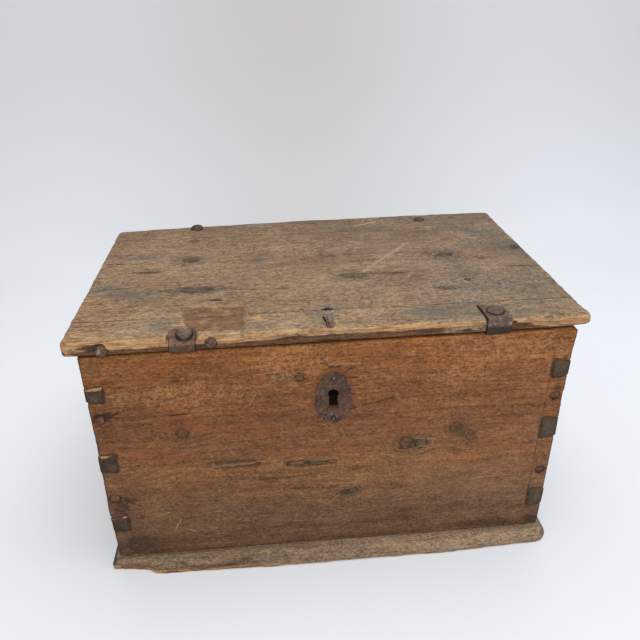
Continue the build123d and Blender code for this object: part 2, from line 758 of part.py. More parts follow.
left_front_rivet = front_rivet_place(left_line, left_front_rivet_s, left_front_rivet_aside, left_nose,
                                     left_rise, left_turnover_slope)
right_front_rivet = front_rivet_place(right_line, right_front_rivet_s, 0, right_nose, right_rise,
                                      right_turnover_slope)
left_front_rivet_length = left_front_rivet.position.Z - lid_under + strap_t - rivet_d / 3
right_front_rivet_length = right_front_rivet.position.Z - lid_under + strap_t

rear_rivet_y = back_y - rear_rivet_setback
rear_rivet_sites = [(strap_x_at(*line, rear_rivet_y), rear_rivet_y, lid_top)
                    for line in (left_line, right_line)]
clout_sites = [(strap_x_at(*left_line, left_clout_y), left_clout_y, lid_top),
               (strap_x_at(*right_line, right_clout_y), right_clout_y, lid_top)]
through_lid = lid_t + strap_t
edge_along = Vector(lid_width, lid_front_edge(lid_x) - lid_front_edge(-lid_x), 0).normalized()
edge_outward = Vector(edge_along.Y, -edge_along.X, 0)
edge_nail_xs = (-lid_x + edge_nail_inset, left_strap_front_x + edge_nail_offset)
edge_nail_places = [Location(Plane(origin=(x, lid_front_edge(x), lid_under + z), x_dir=edge_along,
                                   z_dir=edge_outward))
                    for x, z in zip(edge_nail_xs, edge_nail_heights)]

rear_rivet_hole = rivet_hole(through_lid)
clout_hole = nail_hole(clout_d, through_lid)
left_rivet_hole = rivet_hole(left_front_rivet_length)
right_rivet_hole = rivet_hole(right_front_rivet_length)
edge_nail_hole = nail_hole(edge_nail_d, edge_nail_length)


def cut_fixings():
    """Holes for every rivet and nail that goes down through the lid and its straps."""
    with Locations(*at(rear_rivet_sites, (0, 0, 0))):
        add(rear_rivet_hole, mode=Mode.SUBTRACT)
    with Locations(*at(clout_sites, (0, 0, 0))):
        add(clout_hole, mode=Mode.SUBTRACT)
    with Locations(left_front_rivet):
        add(left_rivet_hole, mode=Mode.SUBTRACT)
    with Locations(right_front_rivet):
        add(right_rivet_hole, mode=Mode.SUBTRACT)


# ---- staple: a bent wire whose ends are clenched on top of the lid --------------------
def staple_wire(width):
    with BuildPart() as wire:
        with BuildLine(Plane.YZ.offset(staple_x)) as path:
            FilletPolyline((front_leg_y - staple_front_clench, clench_z), (front_leg_y, clench_z),
                           (front_leg_y, bend_z), radius=staple_bend_r)
            ThreePointArc((front_leg_y, bend_z), (bolt_y, bend_z - staple_spread / 2), (back_leg_y, bend_z))
            FilletPolyline((back_leg_y, bend_z), (back_leg_y, clench_z),
                           (back_leg_y + staple_back_clench, clench_z), radius=staple_bend_r)
        start = Vector(staple_x, front_leg_y - staple_front_clench, clench_z)
        with BuildSketch(Plane(origin=start, x_dir=(1, 0, 0), z_dir=(0, 1, 0))):
            Rectangle(width, width)
        sweep(path=path.wires()[0])
    return wire.part


staple_bed = staple_wire(staple_w + 2 * staple_slack)

with BuildPart() as lid_front_board:
    add(lid_board(front_y - lid_width, front_seam_y - seam_gap / 2))
    with BuildSketch(strap_plane(*left_line)):
        with BuildLine():
            Polyline((-lid_t, left_nose - (lid_t - wrap_gap) * left_rise), (left_turnover, lid_top),
                     (left_turnover, lid_top + lid_t), (-lid_t, lid_top + lid_t), close=True)
        make_face()
    extrude(amount=strap_w / 2 + cut_over, both=True, mode=Mode.SUBTRACT)
    cut_fixings()
    add(staple_bed, mode=Mode.SUBTRACT)
    with Locations(*edge_nail_places):
        add(edge_nail_hole, mode=Mode.SUBTRACT)
finish(lid_front_board.part, "lid_front_board")

with BuildPart() as lid_middle_board:
    add(lid_board(front_seam_y + seam_gap / 2, back_seam_y - seam_gap / 2))
    cut_fixings()
    add(staple_bed, mode=Mode.SUBTRACT)
    with Locations(*edge_nail_places):
        add(edge_nail_hole, mode=Mode.SUBTRACT)
finish(lid_middle_board.part, "lid_middle_board")

with BuildPart() as lid_back_board:
    add(lid_board(back_seam_y + seam_gap / 2, back_y + lid_width))
    cut_fixings()
finish(lid_back_board.part, "lid_back_board")

with BuildPart() as left_hinge_strap:
    add(hinge_strap(*left_line, left_turnover, left_turnover_slope, left_turnover_corner_r))
    cut_fixings()
finish(left_hinge_strap.part, "left_hinge_strap")

with BuildPart() as right_hinge_strap:
    add(hinge_strap(*right_line, right_turnover, right_turnover_slope, right_turnover_corner_r))
    along = strap_plane(*right_line)
    short_end = right_turnover - right_end_skew
    half_w = strap_w / 2
    with BuildSketch(Plane(origin=along.origin + Vector(0, 0, lid_top), x_dir=along.x_dir, z_dir=(0, 0, 1))):
        Polygon((right_turnover, half_w), (short_end, half_w - right_end_corner_w),
                (short_end - right_end_slant, -half_w - cut_over),
                (right_turnover + cut_over, -half_w - cut_over), (right_turnover + cut_over, half_w),
                align=None)
    extrude(amount=strap_t + cut_over, mode=Mode.SUBTRACT)
    cut_fixings()
finish(right_hinge_strap.part, "right_hinge_strap")

with BuildPart() as strap_front_rivets:
    with Locations(left_front_rivet):
        add(rivet(left_front_rivet_length, left_front_head_d, left_front_head_h))
    with Locations(right_front_rivet):
        add(rivet(right_front_rivet_length, right_front_head_d, right_front_head_h))
finish(strap_front_rivets.part, "strap_front_rivets")

with BuildPart() as strap_rear_rivets:
    with Locations(rear_rivet_sites[0]):
        add(rivet(through_lid, left_rear_head_d, left_rear_head_h))
    with Locations(rear_rivet_sites[1]):
        add(rivet(through_lid, right_rear_head_d, right_rear_head_h))
finish(strap_rear_rivets.part, "strap_rear_rivets")

with BuildPart() as strap_middle_nails:
    with Locations(*at(clout_sites, (0, 0, 0))):
        add(nail(clout_d, through_lid, clout_head_d, clout_head_h))
finish(strap_middle_nails.part, "strap_middle_nails")

with BuildPart() as lid_edge_nails:
    with Locations(*edge_nail_places):
        add(nail(edge_nail_d, edge_nail_length, edge_nail_head_d, edge_nail_head_h))
finish(lid_edge_nails.part, "lid_edge_nails")

with BuildPart() as lock_staple:
    add(staple_wire(staple_w))
finish(lock_staple.part, "lock_staple")


# ---- fixed halves of the hinges -----------------------------------------------------
def back_leaf(x):
    """Leaf on the outside of the back board with two knuckles round the pin."""
    tip_r = back_leaf_tip_w / 2
    with BuildPart() as leaf:
        with BuildSketch(Plane.XZ.offset(-(back_y + back_leaf_t))):
            with BuildLine():
                Polyline((x - tip_r, axis_z - back_leaf_length + tip_r), (x - hinge_half, axis_z - eye_r),
                         (x - hinge_half, axis_z), (x + hinge_half, axis_z), (x + hinge_half, axis_z - eye_r),
                         (x + tip_r, axis_z - back_leaf_length + tip_r))
                ThreePointArc((x + tip_r, axis_z - back_leaf_length + tip_r), (x, axis_z - back_leaf_length),
                              (x - tip_r, axis_z - back_leaf_length + tip_r))
            make_face()
        extrude(amount=back_leaf_t)
        with BuildSketch(Plane.YZ.offset(x)):
            with Locations((axis_y, axis_z)):
                Circle(knuckle_r)
        extrude(amount=hinge_half, both=True)
        with Locations((x, axis_y, axis_z)):
            Box(eye_length + 2 * knuckle_gap, 4 * eye_r, 2 * (eye_r + 2 * knuckle_gap), mode=Mode.SUBTRACT)
        with Locations(Location((x, axis_y, axis_z), (0, 90, 0))):
            Cylinder(pin_d / 2 + pin_slack, 4 * hinge_half, mode=Mode.SUBTRACT)
        with Locations(*at(leaf_nail_sites(x), FACING_BACK)):
            add(leaf_nail_hole, mode=Mode.SUBTRACT)
    return leaf.part


def hinge_pin(x):
    half = hinge_half + knuckle_gap
    with BuildPart() as pin:
        with Locations(Location((x, axis_y, axis_z), (0, 90, 0))):
            Cylinder(pin_d / 2, 2 * half)
            with Locations((0, 0, half + pin_head_t / 2), (0, 0, -half - pin_head_t / 2)):
                Cylinder(pin_head_d / 2, pin_head_t)
    return pin.part


finish(back_leaf(left_strap_rear_x), "left_back_leaf")
finish(back_leaf(right_strap_rear_x), "right_back_leaf")
finish(hinge_pin(left_strap_rear_x), "left_hinge_pin")
finish(hinge_pin(right_strap_rear_x), "right_hinge_pin")

with BuildPart() as back_leaf_nails:
    with Locations(*at(all_leaf_nail_sites, FACING_BACK)):
        add(nail(clout_d, leaf_nail_length, clout_head_d, clout_head_h))
finish(back_leaf_nails.part, "back_leaf_nails")

print("hinge axis y", round(axis_y, 3), "z", round(axis_z, 3))
print("lid underside", round(lid_under, 3), "top", round(lid_top, 3), "keyhole z", round(key_z, 3))
print("cover x", round(cover_left, 2), round(cover_right, 2), "back y", round(cover_back_y, 2))
print("plate x", round(plate_left, 2), round(plate_right, 2), "z", round(plate_low, 2), round(plate_top, 2))
print("staple legs y", round(front_leg_y, 2), round(back_leg_y, 2), "low z", round(staple_low, 2))
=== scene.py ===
import math

import bpy
import numpy as np
from mathutils import Matrix, Vector


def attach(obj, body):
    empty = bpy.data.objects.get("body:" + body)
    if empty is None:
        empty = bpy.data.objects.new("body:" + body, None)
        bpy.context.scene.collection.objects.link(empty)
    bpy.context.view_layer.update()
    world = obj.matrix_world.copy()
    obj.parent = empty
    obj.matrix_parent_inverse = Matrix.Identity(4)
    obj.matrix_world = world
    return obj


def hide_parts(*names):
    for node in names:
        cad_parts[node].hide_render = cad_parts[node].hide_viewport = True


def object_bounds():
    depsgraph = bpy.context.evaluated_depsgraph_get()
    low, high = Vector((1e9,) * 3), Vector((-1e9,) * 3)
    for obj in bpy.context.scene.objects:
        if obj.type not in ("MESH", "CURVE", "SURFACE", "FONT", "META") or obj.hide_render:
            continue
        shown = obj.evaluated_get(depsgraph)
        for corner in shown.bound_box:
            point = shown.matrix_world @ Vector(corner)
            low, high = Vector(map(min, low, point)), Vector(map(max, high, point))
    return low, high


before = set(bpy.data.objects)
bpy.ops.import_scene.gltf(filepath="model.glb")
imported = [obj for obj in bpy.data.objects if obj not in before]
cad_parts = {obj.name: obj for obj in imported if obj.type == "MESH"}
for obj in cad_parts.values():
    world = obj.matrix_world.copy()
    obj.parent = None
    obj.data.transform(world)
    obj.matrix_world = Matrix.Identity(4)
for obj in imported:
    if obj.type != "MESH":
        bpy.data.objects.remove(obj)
cad_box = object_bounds()
MM = 0.001
LID_HALF = 215.0  # half the lid's width, in mm
scene = bpy.context.scene
scene.view_settings.view_transform = "Standard"


# ---------------- numbers and noise


def lin(r, g, b, gain=1.0):
    """A colour named by its 0-255 screen values, as scene-linear light."""
    out = []
    for c in (r, g, b):
        c = c / 255.0
        c = c / 12.92 if c <= 0.04045 else ((c + 0.055) / 1.055) ** 2.4
        out.append(min(1.0, c * gain))
    return (*out, 1.0)


def hashed(i, seed):
    n = (i[0] * 374761393 + i[1] * 668265263 + i[2] * 1440662683 + seed * 1274126177) & 0xFFFFFFFF
    n = ((n ^ (n >> 13)) * 1274126177) & 0xFFFFFFFF
    return ((n ^ (n >> 16)) & 0xFFFF) / 32767.5 - 1.0


def noise(p, cell, seed, octaves):
    """Smooth noise from -1 to 1 at points p (mm), with one size of cell for each axis (mm)."""
    p = p / np.array(cell, float) + 31.7
    total, size, amp = 0.0, 0.0, 1.0
    for o in range(octaves):
        i = np.floor(p).astype(np.int64)
        f = p - i
        f = f * f * f * (f * (f * 6 - 15) + 10)
        value = 0.0
        for a in (0, 1):
            for b in (0, 1):
                for c in (0, 1):
                    weight = (
                        (f[:, 0] if a else 1 - f[:, 0])
                        * (f[:, 1] if b else 1 - f[:, 1])
                        * (f[:, 2] if c else 1 - f[:, 2])
                    )
                    value = value + weight * hashed((i[:, 0] + a, i[:, 1] + b, i[:, 2] + c), seed + o)
        total, size = total + amp * value, size + amp
        amp, p = amp * 0.5, p * 2.03 + 5.1
    return total / size * 1.5


def step(x, low, high):
    """Smoothly 0 to 1 as x goes from low to high."""
    t = np.clip((x - low) / (high - low), 0, 1)
    return t * t * (3 - 2 * t)


def spot(a, b, ca, cb, ra, rb):
    """1 at a place on a face, falling smoothly to 0 round it."""
    return np.exp(-(((a - ca) / ra) ** 2) - ((b - cb) / rb) ** 2)


def along(a, b, start, end, width):
    """1 on the line from start to end, falling to 0 across it."""
    ax, ay = start
    dx, dy = end[0] - ax, end[1] - ay
    t = np.clip(((a - ax) * dx + (b - ay) * dy) / (dx * dx + dy * dy), 0, 1)
    return np.exp(-((a - ax - t * dx) ** 2 + (b - ay - t * dy) ** 2) / width**2)


# ---------------- meshes


class Shape:
    """A mesh held as arrays in mm, for working its surface."""

    def __init__(self, node, voxel, stretch=(1, 1, 1)):
        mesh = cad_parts[node].data.copy()
        mesh.transform(Matrix.Diagonal((*stretch, 1)))
        self.node, self.object = node, bpy.data.objects.new(node + ".worn", mesh)
        scene.collection.objects.link(self.object)
        mod = self.object.modifiers.new("even", "REMESH")
        mod.mode, mod.voxel_size, mod.use_smooth_shade = "VOXEL", voxel * MM, True
        graph = bpy.context.evaluated_depsgraph_get()
        fine = bpy.data.meshes.new_from_object(self.object.evaluated_get(graph))
        self.object.modifiers.clear()
        fine.transform(Matrix.Diagonal((*(1 / s for s in stretch), 1)))
        fine.name = node + ".worn"
        fine.materials.clear()
        self.object.data = self.mesh = fine
        n = len(fine.vertices)
        co = np.zeros(n * 3)
        fine.vertices.foreach_get("co", co)
        self.co = co.reshape(-1, 3) / MM
        edges = np.zeros(len(fine.edges) * 2, np.int64)
        fine.edges.foreach_get("vertices", edges)
        self.edges = edges.reshape(-1, 2)
        self.degree = np.bincount(self.edges.ravel(), minlength=n)[:, None]

    @property
    def x(self):
        return self.co[:, 0]

    @property
    def y(self):
        return self.co[:, 1]

    @property
    def z(self):
        return self.co[:, 2]

    def noise(self, cell, seed=0, octaves=1):
        return noise(self.co, cell, seed, octaves)

    def around(self, values):
        """The mean of each vertex's neighbours."""
        a, b = self.edges[:, 0], self.edges[:, 1]
        cols = [
            np.bincount(a, values[b, k], len(values)) + np.bincount(b, values[a, k], len(values))
            for k in range(values.shape[1])
        ]
        return np.stack(cols, 1) / self.degree

    def smooth(self, weight, steps):
        for _ in range(steps):
            self.co += weight * (self.around(self.co) - self.co)

    def rim(self, shown, steps=2):
        """1 along the border of the shown part of the surface, inside it."""
        inner = shown.copy()
        for _ in range(steps):
            inner = self.around(inner[:, None])[:, 0]
        return shown * step(-inner, -0.96, -0.62)

    def normals(self):
        self.write()
        out = np.zeros(len(self.co) * 3)
        self.mesh.vertex_normals.foreach_get("vector", out)
        return out.reshape(-1, 3)

    def push(self, depth, normals):
        """Moves each vertex out along its normal by depth mm."""
        self.co += depth[:, None] * normals

    def write(self):
        low, high = (np.array(corner) for corner in cad_box)
        self.mesh.vertices.foreach_set("co", np.clip(self.co * MM, low, high).ravel())
        self.mesh.update()

    def mask(self, name, values):
        if name in self.mesh.attributes:
            self.mesh.attributes.remove(self.mesh.attributes[name])
        layer = self.mesh.attributes.new(name, "FLOAT", "POINT")
        layer.data.foreach_set("value", np.clip(values, 0, 1).astype(np.float32))

    def finish(self, body, slot, *materials):
        self.write()
        for m in materials:
            self.mesh.materials.append(m)
        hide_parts(self.node)
        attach(self.object, body)
        return self.object


# ---------------- shader graphs


class Value:
    """A number or vector in a shader graph, which adds nodes as it is worked with."""

    def __init__(self, graph, socket):
        self.graph, self.socket = graph, socket

    def __add__(self, other):
        return self.graph.math("ADD", self, other)

    def __sub__(self, other):
        return self.graph.math("SUBTRACT", self, other)

    def __mul__(self, other):
        return self.graph.math("MULTIPLY", self, other)

    def __truediv__(self, other):
        return self.graph.math("DIVIDE", self, other)

    __radd__ = __add__


class Graph:
    def __init__(self, name):
        self.material = bpy.data.materials.new(name)
        self.material.use_nodes = True
        self.tree = self.material.node_tree
        self.tree.nodes.clear()
        place = self.node("ShaderNodeTexCoord")
        scaled = self.node("ShaderNodeVectorMath", operation="SCALE")
        self.tree.links.new(place.outputs["Object"], scaled.inputs[0])
        scaled.inputs["Scale"].default_value = 1 / MM
        self.place = Value(self, scaled.outputs[0])
        parts = self.node("ShaderNodeSeparateXYZ")
        self.tree.links.new(scaled.outputs[0], parts.inputs[0])
        self.x, self.y, self.z = (Value(self, parts.outputs[k]) for k in range(3))

    def node(self, kind, **settings):
        n = self.tree.nodes.new(kind)
        for key, value in settings.items():
            setattr(n, key, value)
        return n

    def put(self, socket, value):
        if isinstance(value, Value):
            self.tree.links.new(value.socket, socket)
        else:
            socket.default_value = value

    def make(self, kind, inputs, out=0, **settings):
        """One output of a new node, with its inputs linked or set."""
        n = self.node(kind, **settings)
        for key, value in inputs.items():
            self.put(n.inputs[key], value)
        return Value(self, n.outputs[out])

    def math(self, operation, *values, clamp=False):
        return self.make("ShaderNodeMath", dict(enumerate(values)), operation=operation, use_clamp=clamp)

    def vector(self, *parts):
        return self.make("ShaderNodeCombineXYZ", dict(enumerate(parts)))

    def stretched(self, cells):
        """The place, divided by one cell size for each axis."""
        return self.make("ShaderNodeVectorMath", {0: self.place, 1: cells}, operation="DIVIDE")

    def noise(self, vector, detail=2.0, rough=0.5, twist=0.0):
        inputs = {"Vector": vector, "Scale": 1.0, "Detail": detail, "Roughness": rough, "Distortion": twist}
        return self.make("ShaderNodeTexNoise", inputs, "Fac", noise_dimensions="3D")

    def cells(self, vector, feature="F1"):
        inputs = {"Vector": vector, "Scale": 1.0, "Randomness": 1.0}
        return self.make("ShaderNodeTexVoronoi", inputs, "Distance", feature=feature)

    def step(self, value, low, high, to=(0.0, 1.0)):
        inputs = {"Value": value, "From Min": low, "From Max": high, "To Min": to[0], "To Max": to[1]}
        return self.make("ShaderNodeMapRange", inputs, "Result", interpolation_type="SMOOTHSTEP")

    def gauss(self, *terms):
        """exp(-(sum of squares))"""
        total = None
        for t in terms:
            square = self.math("MULTIPLY", t, t)
            total = square if total is None else total + square
        return self.math("EXPONENT", total * -1.0)

    def mask(self, name):
        return self.make("ShaderNodeAttribute", {}, "Fac", attribute_name=name)

    def ramp(self, value, stops):
        n = self.node("ShaderNodeValToRGB")
        while len(n.color_ramp.elements) < len(stops):
            n.color_ramp.elements.new(0.5)
        for element, (at, colour) in zip(n.color_ramp.elements, stops):
            element.position, element.color = at, colour
        self.put(n.inputs[0], value)
        return Value(self, n.outputs[0])

    def mix(self, share, a, b, blend="MIX"):
        """Colours a and b mixed; the node has its colour sockets at 6 and 7, and the result at 2."""
        return self.make("ShaderNodeMix", {0: share, 6: a, 7: b}, 2, data_type="RGBA", blend_type=blend)

    def finish(self, colour, rough, height=None, metallic=None, specular=0.4):
        shader = self.node("ShaderNodeBsdfPrincipled")
        self.put(shader.inputs["Base Color"], colour)
        self.put(shader.inputs["Roughness"], rough)
        if metallic is not None:
            self.put(shader.inputs["Metallic"], metallic)
        shader.inputs["Specular IOR Level"].default_value = specular
        if height is not None:
            bump = self.node("ShaderNodeBump")
            bump.inputs["Strength"].default_value = 1.0
            bump.inputs["Distance"].default_value = MM
            self.put(bump.inputs["Height"], height)
            self.tree.links.new(bump.outputs[0], shader.inputs["Normal"])
        out = self.node("ShaderNodeOutputMaterial")
        self.tree.links.new(shader.outputs[0], out.inputs[0])
        return self.material


# ---------------- wood


DIRT, OLD = lin(30, 22, 18), lin(184, 150, 112)


def wood(name, axes, tones, spacing, pith, knots=(), lines=(), seams=(), tints=(), calm=1.0, grain=0.45,
         scuffs=0.3, scuff_tone=OLD, hue=lin(98, 92, 78), crisp=0.95, drawn=1.7):
    """Old pine. axes names the way the grain runs, the board's width and its thickness."""
    g = Graph(name)
    at = {"x": g.x, "y": g.y, "z": g.z}
    u, v, w = (at[a] for a in axes)
    u_grain = u
    for k, seam in enumerate(seams):
        u_grain = u_grain + g.math("GREATER_THAN", v, seam) * (310.0 + 170.0 * k)
    face = g.mask("face")
    flow = (g.noise(g.vector(u_grain / 170, v / 55, w / 55), 2) - 0.5) * 20.0
    bend = v + flow
    for ku, kv, ru, rv in knots:
        near = g.gauss((u - ku) / (ru * 2.4), (v - kv) / (rv * 2.2))
        bend = bend - (v - kv) * near * 0.8
    across, deep = bend - pith[0], w - pith[1]
    radius = g.math("SQRT", across * across + deep * deep)
    rings = radius / spacing + g.noise(g.vector(u_grain / 400, radius / 17, 0.0), 2) * 3.0
    turn = g.math("FRACT", rings)
    late = g.step(turn, 0.55, 0.92) * g.step(turn, 0.92, 1.0, (1.0, 0.0))
    fibres = g.noise(g.vector(u_grain / 24, bend / 1.1, w / 1.1), 3, 0.65)
    streaks = g.noise(g.vector(u_grain / 58, bend / 3.4, w / 3.4), 3, 0.6)
    blotch = g.noise(g.vector(u_grain / 60, v / 28, w / 28), 4, 0.6, 0.6)
    mottle = g.noise(g.vector(u_grain / 11, v / 6.5, w / 6.5), 4, 0.62, 0.8)
    grit = g.noise(g.vector(u_grain / drawn, v / 1.5, w / 1.5), 2, 0.75)
    flecks = g.noise(g.vector(u_grain / 3.6, v / 1.7, w / 1.7), 2, 0.6)
    end = g.mask("end")
    tone = (
        0.5
        + (fibres - 0.5) * grain
        + (streaks - 0.5) * (0.36 * calm)
        + (blotch - 0.5) * 0.42
        + (mottle - 0.5) * 0.5
        + (grit - 0.5) * crisp
        - late * g.step(blotch, 0.3, 0.62) * (0.13 * calm)
    )
    colour = g.ramp(tone, tones)
    for axis, low, high, stops in tints:
        place = (at[axis] - low) / (high - low) + (blotch - 0.5) * 0.22
        colour = g.mix(1.0, colour, g.ramp(place, stops), "MULTIPLY")
    # patches that lean to orange or to olive
    warm = g.noise(g.vector(u_grain / 34, v / 15, w / 15), 3, 0.6, 0.5)
    colour = g.mix(g.step(warm, 0.52, 0.72) * 0.5, colour, (1.16, 0.98, 0.82, 1), "MULTIPLY")
    colour = g.mix(g.step(warm, 0.46, 0.28) * 0.5, colour, (0.86, 0.95, 0.95, 1), "MULTIPLY")
    # grey-green age where the surface is bare
    greyed = g.step(g.mask("grey") + (mottle - 0.5) * 0.8 + (fibres - 0.5) * 0.6, 0.3, 0.85)
    colour = g.mix(greyed * 0.62, colour, hue)
    # short curled scratches
    drift = (g.noise(g.stretched((4.2, 4.2, 4.2)), 2) - 0.5) * 13.0
    sway = (g.noise(g.stretched((5.6, 5.6, 5.6)), 2) - 0.5) * 13.0
    curls = g.cells(g.vector((u + drift) / 6.5, (v + sway) / 5.2, w / 6.0), "DISTANCE_TO_EDGE")
    scuffed = g.step(g.mask("scuff") + (mottle - 0.5) * 0.9 + (grit - 0.5) * 0.7, 0.3, 0.6)
    colour = g.mix(g.step(curls, 0.12, 0.02) * scuffed * scuffs * face, colour, scuff_tone)
    # knots: a broken dark rim, rings, a dull heart and a grey halo
    for ku, kv, ru, rv in knots:
        du, dv = (u - ku) / ru, (v - kv) / rv
        k = g.math("SQRT", du * du + dv * dv) + (mottle - 0.5) * 1.9 + (grit - 0.5) * 1.4
        halo = g.step(k, 1.0, 2.4, (1.0, 0.0)) * face * g.step(blotch + mottle, 0.8, 1.1)
        inside = g.step(k, 0.7, 1.1, (1.0, 0.0)) * face
        rim = g.gauss((k - 1.0) / 0.22) * face * g.step(streaks + grit, 0.84, 1.04)
        outer = g.gauss((k - 1.7) / 0.22) * face * g.step(fibres, 0.46, 0.58)
        heart = g.step(g.math("FRACT", k * 2.2), 0.3, 0.7)
        colour = g.mix(halo * 0.3, colour, hue)
        colour = g.mix(inside * (0.1 + heart * 0.5), colour, lin(62, 53, 40))
        colour = g.mix(rim * 0.85 + outer * 0.55, colour, lin(34, 24, 18))
    # placed cracks and scratches
    pit = None
    wander = (g.noise(g.stretched((7.0, 7.0, 7.0)), 2) - 0.5) * 3.0
    for (u0, v0), (u1, v1), width, strength, shade in lines:
        du, dv = u1 - u0, v1 - v0
        t = g.math("MULTIPLY", (u - u0) * du + (v - v0) * dv, 1 / (du * du + dv * dv), clamp=True)
        near = g.gauss((u - u0 - t * du) / width, (v - v0 - t * dv + wander) / width) * face * strength
        near = near * g.step(mottle, 0.3, 0.5)
        colour = g.mix(near, colour, shade)
        if strength > 0.75 and sum(shade[:3]) < 0.3:
            pit = near * 0.6 if pit is None else pit + near * 0.6
    for seam in seams:
        near = g.gauss((v - seam + wander * 0.12) / 0.5) * face * g.step(mottle, 0.25, 0.5, (0.55, 1.0))
        colour = g.mix(near * 0.8, colour, lin(38, 28, 24))
        pit = near * 0.5 if pit is None else pit + near * 0.5
    # end grain drinks dirt
    dots = g.cells(g.stretched((1.5, 1.5, 1.5)))
    ends = g.ramp(dots * 0.12 + mottle * 0.53 + grit * 0.35, [
        (0.3, lin(46, 38, 31)), (0.5, lin(74, 62, 51)), (0.75, lin(112, 97, 80))])
    colour = g.mix(end * 0.9, colour, ends)
    # brown old edge with painted shade on the lid's lower front edge; rust stain; dark grime with painted
    # shade; pale bare wood with painted highlight
    brown_and_shaded = g.step(g.mask("brown") + (mottle - 0.5) * 0.5, 0.3, 0.6)
    umber = g.ramp(fibres * 0.55 + grit * 0.45, [
        (0.3, lin(46, 26, 15)), (0.5, lin(90, 56, 33)), (0.72, lin(132, 94, 60))])
    colour = g.mix(brown_and_shaded * 0.9, colour, umber)
    colour = g.mix(g.mask("moss"), colour, lin(44, 58, 38))
    rusty = g.step(g.mask("rust") + (mottle - 0.5) * 0.7, 0.25, 0.85)
    colour = g.mix(rusty * 0.6, colour, lin(106, 66, 44))
    stain_and_shade = g.step(g.mask("dark") + (mottle - 0.5) * 0.75 + (fibres - 0.5) * 0.6, 0.3, 0.8)
    colour = g.mix(stain_and_shade * 0.75, colour, lin(50, 36, 29))
    specks = g.step(flecks, 0.61, 0.7)
    colour = g.mix(specks * 0.55, colour, lin(46, 31, 23))
    glints = g.step(flecks, 0.36, 0.27) * g.step(grit, 0.42, 0.58)
    colour = g.mix(glints * 0.52, colour, scuff_tone)
    # pale: bare wood, with painted highlight on the lid's front arris, the base's left tip and the left
    # pins' upper edges
    bare_and_lit = g.step(g.mask("pale") + (fibres - 0.5) * 0.8 + (mottle - 0.5) * 0.6 + (grit - 0.5) * 0.4,
                  0.36, 0.66)
    bare_and_lit_ramp = g.ramp(fibres * 0.5 + mottle * 0.3 + grit * 0.2, [
        (0.32, lin(96, 60, 36)), (0.44, lin(148, 106, 68)),
        (0.55, lin(186, 144, 100)), (0.72, lin(214, 178, 134))])
    colour = g.mix(bare_and_lit * 0.88, colour, bare_and_lit_ramp)
    # near black: painted shade in the staple's holes, inside the keyhole, under the lid's front and on the
    # case's top edge below it; also dark splits
    soot = g.step(g.mask("soot") + (mottle - 0.5) * 0.5, 0.35, 0.7)
    colour = g.mix(soot * 0.9, colour, lin(22, 16, 13))
    edge = g.mask("outline")
    colour = g.mix(edge * 0.85, colour, lin(30, 23, 19))
    height = fibres * 0.28 + grit * 0.26 + mottle * 0.3 - late * 0.08 - bare_and_lit * 0.1 - specks * 0.12
    if pit is not None:
        height = height - pit * 0.9
    return g.finish(colour, g.step(mottle, 0.2, 0.8, (0.72, 0.9)), height, specular=0.22)


